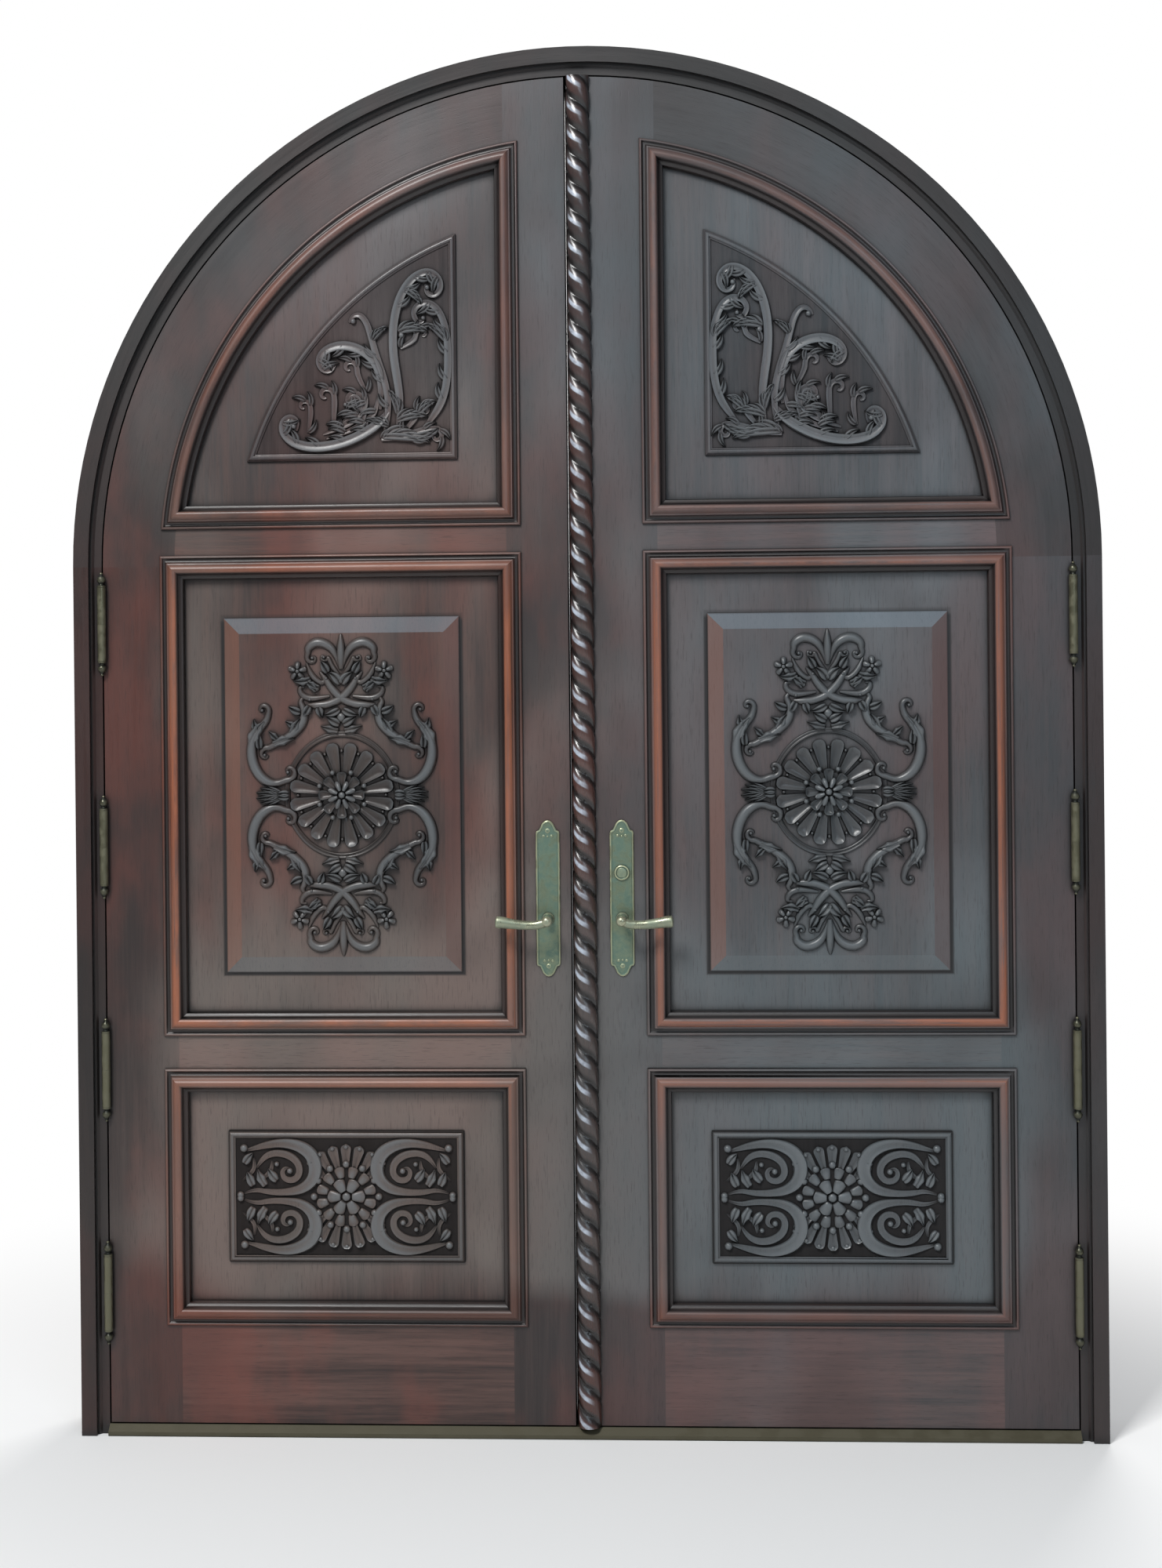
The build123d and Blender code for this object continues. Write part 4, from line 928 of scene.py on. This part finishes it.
def lower_ornament():
    """Crescents and curling stems round a flower."""
    bm = bmesh.new()
    raise_lines(bm, [
        [(192, 88, 5), (176, 92, 9), (154, 98, 13), (124, 103, 17), (94, 99, 21), (68, 84, 25),
         (57, 58, 26), (63, 32, 23), (84, 14, 18), (114, 8, 13), (146, 8, 11), (176, 14, 8),
         (196, 6, 4)],
        [(172, 54, 4), (162, 72, 10), (140, 84, 13), (113, 81, 14), (92, 66, 14), (88, 44, 13),
         (101, 30, 12), (119, 33, 11), (124, 48, 9), (114, 57, 6), (106, 50, 4)],
        [(166, 32, 4), (152, 40, 9), (142, 53, 9), (142, 68, 4)],
        [(200, 30, 3), (184, 42, 8), (174, 58, 8), (178, 74, 4)],
    ], flat_section, 0.62, bold=1.05)
    for x, y, turn, long, wide, lobes, bend in (
            (154, 20, 50, 34, 15, 2, 30), (132, 30, 40, 28, 13, 0, 30),
            (178, 20, 62, 28, 13, 0, 10), (196, 62, 120, 26, 12, 0, 20)):
        raise_leaf(bm, x, y, turn, 1.1 * long, 1.5 * wide, 7.5, lobes, bend)
    for x, y, radius in ((196, 92, 8), (108, 49, 6), (133, 62, 5), (203, 3, 7)):
        raise_bead(bm, x, y, radius, 8)
    for turn, tip in ((90, 99), (74, 99), (58, 99), (42, 94)):
        angle = radians(turn)
        raise_petal(bm, angle, 52, tip, 27, 6.5)
        raise_bead(bm, 95 * cos(angle), 95 * sin(angle), 5.5, 7)
    bm = four_times(bm)
    petals = 12
    for i in range(petals):
        angle = 2 * pi * (i + 0.5) / petals
        raise_petal(bm, angle, 34, 58, 24, 6, hollow=False)
        raise_bead(bm, 62 * cos(angle + 0.26), 62 * sin(angle + 0.26), 7.5, 8)
    for i in range(6):
        raise_petal(bm, 2 * pi * i / 6, 8, 36, 28, 8, hollow=False)
    raise_bead(bm, 0, 0, 10, 8.5)
    return bm


def upper_ornament():
    """Stems, curls and acanthus leaves that fill a quarter-round tablet."""
    bm = bmesh.new()
    # Each stem with the side that its leaves are on, and its first and last point with leaves
    stems = [
        ([(60, 62, 5), (42, 84, 10), (26, 112, 11), (17, 150, 11), (15, 200, 11), (18, 244, 10),
          (30, 280, 10), (50, 298, 10), (72, 294, 9), (82, 278, 8), (74, 260, 7), (60, 262, 5),
          (62, 274, 3)], -1, 2, 8),
        ([(112, 62, 6), (106, 100, 10), (112, 150, 12), (120, 200, 12), (120, 250, 12),
          (112, 292, 12), (98, 324, 12), (78, 348, 11), (52, 358, 10), (32, 346, 9), (27, 324, 9),
          (40, 308, 8), (58, 316, 7), (56, 332, 4)], 1, 5, 10),
        ([(136, 52, 6), (128, 100, 10), (136, 150, 10), (152, 196, 10), (162, 234, 9),
          (170, 262, 9), (184, 278, 8), (200, 272, 6), (204, 262, 3)], -1, 1, 4),
        ([(146, 96, 4), (142, 140, 10), (150, 180, 12), (176, 208, 13), (214, 220, 13),
          (248, 212, 12), (264, 192, 10), (256, 172, 9), (238, 170, 8), (232, 184, 5)], -1, 2, 8),
        ([(128, 96, 5), (140, 76, 12), (170, 54, 14), (212, 34, 14), (262, 24, 14), (306, 30, 13),
          (332, 50, 11), (334, 74, 10), (318, 86, 9), (302, 74, 8), (308, 58, 5)], 1, 2, 8),
        ([(150, 120, 3), (152, 92, 8), (176, 70, 9), (212, 52, 7), (250, 42, 3)], 1, 1, 4),
        ([(176, 136, 3), (170, 110, 9), (186, 84, 10), (216, 62, 8), (256, 50, 3)], 1, 1, 4),
        ([(214, 108, 4), (196, 122, 9), (184, 112, 10), (196, 88, 8), (226, 66, 3)], 1, 0, 4),
    ]
    curls = [
        (spiral(198, 112, 21, -100, 280, 8.5) + [(176, 84, 10), (186, 56, 6)], 1),
        (spiral(250, 124, 17, -100, 280, 8) + [(233, 98, 9), (236, 58, 5)], 1),
        (spiral(292, 104, 13, -100, 280, 7) + [(278, 84, 8), (284, 54, 4)], 1),
        (spiral(204, 176, 15, -100, 280, 7.5) + [(188, 158, 8), (172, 130, 5)], 1),
        (spiral(62, 92, 14, 280, -280, 7.5) + [(80, 74, 9), (102, 52, 5)], -1),
        (spiral(40, 44, 15, 370, -280, 8) + [(64, 55, 10), (98, 44, 11), (144, 40, 7)], -1),
        (spiral(64, 238, 12, 280, -280, 7) + [(80, 224, 8), (106, 212, 5)], -1),
    ]
    lines = [stem for stem, *_ in stems] + [curl for curl, _ in curls]
    raise_lines(bm, lines, flat_section, 0.84, bold=1.5)
    for stem, side, first, last in stems:
        raise_leaves_along(bm, stem[first:last + 1], side, 36, 7.6)
    for curl, side in curls:
        raise_leaves_along(bm, curl[:3:-2], side, 30, 6.8)
    for x, y, turn, long, wide, bend in (
            (146, 44, 176, 96, 30, 24), (116, 72, 150, 62, 26, 44), (92, 44, 184, 60, 26, -40),
            (74, 84, 120, 44, 24, 50), (112, 84, 88, 52, 24, -40), (128, 62, 30, 50, 22, -30),
            (18, 220, 66, 52, 24, -50), (112, 240, 150, 60, 26, 60), (100, 322, 196, 46, 24, 50),
            (160, 226, 120, 40, 20, 40)):
        raise_acanthus(bm, x, y, turn, long, wide, bend)
    for x, y, radius in (
            (62, 268, 5), (54, 326, 6), (196, 264, 6), (240, 180, 6), (312, 66, 6.5),
            (104, 236, 7), (212, 106, 5), (88, 86, 6)):
        raise_bead(bm, x, y, radius, 8)
    return bm


def board(corners, radius):
    """The sunk ground of a tablet, a board let into the panel's face."""
    bm = bmesh.new()
    if radius:
        angles = [atan2(z - head_height, x) for x, z in corners[1:]]
        start = bm.verts.new((corners[1][0], panel_face, corners[1][1]))
        bmesh.ops.spin(
            bm, geom=[start], cent=(0, 0, head_height), axis=(0, -1, 0),
            angle=angles[1] - angles[0], steps=40, use_duplicate=False)
        last = max(bm.verts, key=lambda vert: vert.co.z)
        corner = bm.verts.new((corners[0][0], panel_face, corners[0][1]))
        bm.edges.new((last, corner))
        bm.edges.new((corner, start))
    else:
        ring_of(bm, [(x, panel_face, z) for x, z in corners])
    bmesh.ops.holes_fill(bm, edges=bm.edges[:], sides=0)
    made = bmesh.ops.extrude_face_region(bm, geom=bm.faces[:] + bm.edges[:] + bm.verts[:])
    bmesh.ops.translate(bm, vec=(0, tablet_ground - panel_face, 0), verts=verts_of(made))
    bm.verts.layers.float_vector.new("run")
    return bm


def tablet(level, carving, x, z):
    """Moulded border, sunk ground and carving of one tablet on the right leaf."""
    low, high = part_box(f"{level}_tablet_right")
    inset = tablet_edge_width
    if level == "upper":
        radius = hypot(high.x, low.z - head_height)
        outer = quarter_round(low.x, low.z, radius)
        inner = quarter_round(low.x + inset, low.z + inset, radius - inset)
    else:
        radius = None
        outer = rectangle(low.x, low.z, high.x, high.z)
        inner = rectangle(low.x + inset, low.z + inset, high.x - inset, high.z - inset)
    stand_up(carving, x, z, tablet_ground)
    border = framed(tablet_edge, outer, inner, panel_face, -1, radius)
    join_into(border, board(outer, radius))
    join_into(border, carving)
    return border


def middle_of(node):
    low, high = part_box(node)
    return (low.x + high.x) / 2, (low.z + high.z) / 2


onlay = middle_ornament()
stand_up(onlay, *middle_of("middle_onlay_right"), field_face)
finished_pair("rosette_onlay", onlay, "onlay", "middle_onlay", 55)
upper_corner = (0.235, 1.854)  # lower left corner of the right leaf's tablet, in X and Z
carved = tablet("upper", upper_ornament(), *upper_corner)
finished_pair("upper_carving", carved, "vine", "upper_tablet", 55)
carved = tablet("lower", lower_ornament(), *middle_of("lower_tablet_right"))
finished_pair("lower_carving", carved, "tablet", "lower_tablet", 55)

# Rope moulding down the meeting line


def rope():
    """Half-round rope: bulging strands that run down to the right, on a flat back."""
    bm = bmesh.new()
    layer = bm.verts.layers.float_vector.new("run")
    low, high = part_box("rope_astragal")
    strand_pitch = 52.7 * mm
    drop_across = 60 * mm
    half = (high.x - low.x) / 2
    back = leaf_face - 3 * mm
    deep = back - low.y
    for vert in bmesh.ops.create_grid(bm, x_segments=22, y_segments=1100, size=1)["verts"]:
        across = (vert.co.x + 1) / 2
        up = (high.z - low.z) * (vert.co.y + 1) / 2
        turn = radians(180 * across - 90)
        strand = pi * (up + drop_across * (across + 0.06 * sin(2 * pi * across))) / strand_pitch
        radius = deep * (0.5 + 0.5 * abs(sin(strand)) ** 0.55)
        vert[layer] = (across, sin(2 * strand), sin(strand) ** 2)
        width = half * (0.72 + 0.28 * radius / deep)
        vert.co = (width * sin(turn), back - radius * cos(turn), low.z + up)
    edges = [edge for edge in bm.edges if edge.is_boundary]
    for vert in verts_of(bmesh.ops.extrude_edge_only(bm, edges=edges)):
        vert.co.y = leaf_face
        if abs(vert.co.x) > 0.9 * half:
            vert.co.x = half if vert.co.x > 0 else -half
    close_holes(bm)
    finished("rope_carving", bm, woods["rope"], "leaf_right", ["rope_astragal"], 60)


def meeting_seal():
    """Soft bulb seal on the right leaf's edge, by the inside face, that closes the gap."""
    bm = bmesh.new()
    low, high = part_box("meeting_stile_right")
    end_gap = 5 * mm
    section = [(0, 1.5), (2.4, 1.8), (4.2, 3.2), (4.6, 5), (4.2, 6.8), (2.4, 8.2), (0, 8.5)]
    edges = ring_of(bm, [
        (low.x - out * mm, leaf_back - back * mm, low.z + end_gap) for out, back in section])[1]
    drawn_out(bm, edges, (0, 0, high.z - low.z - 2 * end_gap))
    close_holes(bm)
    finished("meeting_bulb_seal", bm, rubber, "leaf_right")


rope()
meeting_seal()

# Turned and cast brass. Outlines are in millimetres.


def turned(bm, outline, place, steps=32):
    """Spins (radius, height) pairs about Z and puts the shape in place with a matrix."""
    part = bmesh.new()
    verts = [part.verts.new((radius * mm, 0, height * mm)) for radius, height in outline]
    edges = [part.edges.new(pair) for pair in zip(verts, verts[1:])]
    bmesh.ops.spin(
        part, geom=verts + edges, cent=(0, 0, 0), axis=(0, 0, 1), angle=2 * pi, steps=steps,
        use_merge=True, use_duplicate=False)
    bmesh.ops.remove_doubles(part, verts=part.verts, dist=1e-7)
    bmesh.ops.transform(part, matrix=place, verts=part.verts)
    join_into(bm, part)


def facing(x, face, z, out):
    """Stands a turned shape on a face of the leaf, with its height outwards."""
    return Matrix.Translation((x, face, z)) @ Matrix.Rotation(-out * pi / 2, 4, "X")


def pin_outline():
    """Hinge pin with an urn at both ends."""
    half, radius, finial = 70, 7.84, 28.5
    urn = [
        (1, 0), (1.02, 0.06), (0.98, 0.12), (0.6, 0.16), (0.52, 0.24), (0.7, 0.3), (0.98, 0.42),
        (1.0, 0.52), (0.85, 0.66), (0.5, 0.78), (0.34, 0.84), (0.42, 0.9), (0.3, 0.97), (0, 1)]
    top = [(radius * r, half + 0.3 + finial * h) for r, h in urn]
    return [(r, -h) for r, h in reversed(top)] + [(3.9, -half), (3.9, half)] + top


for side, way in sides.items():
    bm = bmesh.new()
    for height in hinge_heights:
        turned(bm, pin_outline(), Matrix.Translation((way * hinge_across, hinge_pin_line, height)))
    finished(f"urn_pins_{side}", bm, hinge_brass, "frame", [f"hinge_pins_{side}"])


def long_plate(x, face, out):
    """Plate with stepped edges, pointed ends and four low bosses at each end."""
    corner = [(22.5, 123), (21, 127), (16.5, 129), (13.5, 135), (10, 142), (5, 146.5), (0, 148)]
    points = corner + [(-a, u) for a, u in reversed(corner[:-1])]
    points += [(-a, -u) for a, u in corner] + [(a, -u) for a, u in reversed(corner[:-1])]
    bm = bmesh.new()
    flat = bm.faces.new([bm.verts.new((a * mm, u * mm, 0)) for a, u in points])
    raised = bmesh.ops.extrude_face_region(bm, geom=[flat])
    top = next(item for item in raised["geom"] if isinstance(item, bmesh.types.BMFace))
    bmesh.ops.translate(bm, vec=(0, 0, 2.4 * mm), verts=top.verts)
    for width, rise in ((0.8, 1.0), (1.2, 0.6), (1.4, -0.2), (1.0, -0.9)):
        bmesh.ops.inset_region(
            bm, faces=[top], thickness=width * mm, depth=rise * mm, use_even_offset=True)
    for end in (1, -1):
        for a, u, radius, height in (
                (0, 128, 4.5, 1.6), (-7.5, 118, 2.6, 1.3), (7.5, 118, 2.6, 1.3), (0, 117, 2, 1.2)):
            boss = bmesh.ops.create_uvsphere(bm, u_segments=14, v_segments=8, radius=1)["verts"]
            bmesh.ops.scale(bm, vec=(radius * mm, radius * mm, height * mm), verts=boss)
            bmesh.ops.translate(bm, vec=(a * mm, end * u * mm, 2.9 * mm), verts=boss)
    bmesh.ops.transform(bm, matrix=facing(x, face, plate_height, out), verts=bm.verts)
    return bm


def swan_lever(x, face, out, way):
    """Lever with a turned rose and a flared, gently curved arm."""
    bm = bmesh.new()
    rose = [
        (0, 4.2), (11, 4.2), (11, 6), (10.4, 7.6), (9, 8.6), (8.4, 10), (8.2, 30), (8.8, 40),
        (9.6, 46), (10.2, 51), (9.6, 56), (7.6, 59.6), (4, 61.4), (0, 62)]
    turned(bm, rose, facing(x, face, lever_height, out), 28)
    arm = bmesh.new()
    reach = [
        (-4, 0, 14), (6, -3, 17), (18, -6.5, 16.5), (34, -7, 16.5), (52, -5.6, 17.5),
        (70, -3.4, 19.5), (82, -1.4, 22), (90, -0.8, 23), (94, -0.6, 22.5), (96, -0.4, 18),
        (97, -0.4, 7)]
    section = [(cos(2 * pi * i / 16), 0.86 * sin(2 * pi * i / 16)) for i in range(16)]
    raise_lines(arm, [[(way * a, u, w) for a, u, w in reach]], section, resolution=6)
    arm_out = 52 * mm
    bmesh.ops.rotate(arm, cent=(0, 0, 0), matrix=Matrix.Rotation(pi / 2, 3, "X"), verts=arm.verts)
    bmesh.ops.translate(arm, vec=(x, face + out * arm_out, lever_height), verts=arm.verts)
    join_into(bm, arm)
    return bm


for side, way in sides.items():
    x = way * handle_across
    for place, face, out in (("outside", leaf_face, -1), ("inside", leaf_back, 1)):
        finished(
            f"long_plate_{place}_{side}", long_plate(x, face, out), handle_brass,
            f"leaf_{side}", [f"plate_{place}_{side}"], 30)
        finished(
            f"swan_lever_{place}_{side}", swan_lever(x, face, out, way), lever_brass,
            f"lever_{side}", [f"lever_{place}_{side}"], 50)

bm = bmesh.new()
cylinder = [
    (0, -30), (14, -30), (14, 4), (13.8, 6.4), (13, 7), (11.4, 7), (10.8, 6.2), (10, 6),
    (9.6, 6.6), (8.6, 7), (0, 7)]
turned(bm, cylinder, facing(handle_across, leaf_face, cylinder_height, -1), 40)
finished("turned_cylinder", bm, handle_brass, "leaf_right", ["key_cylinder"])

# Floor, light and camera


def pale_floor():
    """Pale surface that keeps the doors' shadow, and that the camera sees as white further off."""
    material, tree, shader = new_material("pale_floor")
    shader.inputs["Base Color"].default_value = (0.88, 0.88, 0.88, 1)
    shader.inputs["Roughness"].default_value = 0.8
    distance = add(tree, "ShaderNodeVectorMath", {0: place_of(tree)}, operation="LENGTH")
    path = add(tree, "ShaderNodeLightPath")
    away = times(
        tree, spread(tree, distance.outputs["Value"], 0.9, 2.2), path.outputs["Is Camera Ray"])
    plain = add(tree, "ShaderNodeEmission", {"Color": (1, 1, 1, 1), "Strength": 1.0})
    seen = add(
        tree, "ShaderNodeMixShader", {0: away, 1: shader.outputs[0], 2: plain.outputs[0]})
    tree.links.new(seen.outputs[0], tree.nodes["Material Output"].inputs["Surface"])
    return material


bm = bmesh.new()
just_below = Matrix.Translation((0, 0, -0.5 * mm))
bmesh.ops.create_grid(bm, x_segments=1, y_segments=1, size=14, matrix=just_below)
mesh = bpy.data.meshes.new("pale_floor")
bm.to_mesh(mesh)
bm.free()
mesh.materials.append(pale_floor())
placed("pale_floor", mesh)

world = bpy.data.worlds.new("studio")
bpy.context.scene.world = world
world.use_nodes = True
tree = world.node_tree
tree.nodes.clear()
path = add(tree, "ShaderNodeLightPath")
soft = add(tree, "ShaderNodeBackground", {"Color": (0.93, 0.96, 1.0, 1), "Strength": 0.26})
white = add(tree, "ShaderNodeBackground", {"Color": (1, 1, 1, 1), "Strength": 1.0})
seen = add(tree, "ShaderNodeMixShader", {
    0: path.outputs["Is Camera Ray"], 1: soft.outputs[0], 2: white.outputs[0]})
add(tree, "ShaderNodeOutputWorld", {"Surface": seen.outputs[0]})


def lamp(name, place, target, size, power, tint):
    """A square soft lamp that faces a target."""
    data = bpy.data.lights.new(name, "AREA")
    data.shape = "RECTANGLE"
    data.size = data.size_y = size
    data.energy = power
    data.color = tint
    light = placed(name, data)
    light.location = place
    light.rotation_euler = (Vector(target) - Vector(place)).to_track_quat("-Z", "Y").to_euler()


lamp("high_left", (-2.1, -4.4, 6.0), (0, 0, 1.2), 1.8, 430, (1.0, 1.0, 0.99))
lamp("sky_right", (1.9, -5.6, 3.4), (0.3, 0, 1.6), 2.4, 60, (0.72, 0.87, 1.0))
lamp("back_fill", (1.5, 4.5, 3.2), (0, 0, 1.2), 3.0, 160, (1.0, 0.98, 0.96))

# The camera stands a little right of the meeting line, at chest height.
eye = (0.189, -4.056, 1.468)
yaw, pitch, roll = -0.04811, -0.00232, -0.00976
forward = Vector((sin(yaw) * cos(pitch), cos(yaw) * cos(pitch), sin(pitch)))
level_right = Vector((cos(yaw), -sin(yaw), 0))
level_up = level_right.cross(forward)
right = cos(roll) * level_right + sin(roll) * level_up
upward = -sin(roll) * level_right + cos(roll) * level_up
lens = bpy.data.cameras.new("photo_camera")
lens.sensor_width = 36
lens.lens = 48.64
lens.shift_y = -0.0752
camera = placed("photo_camera", lens)
turn = Matrix((right, upward, -forward)).transposed().to_4x4()
camera.matrix_world = Matrix.Translation(eye) @ turn
bpy.context.scene.camera = camera
bpy.context.scene.view_settings.view_transform = "Standard"
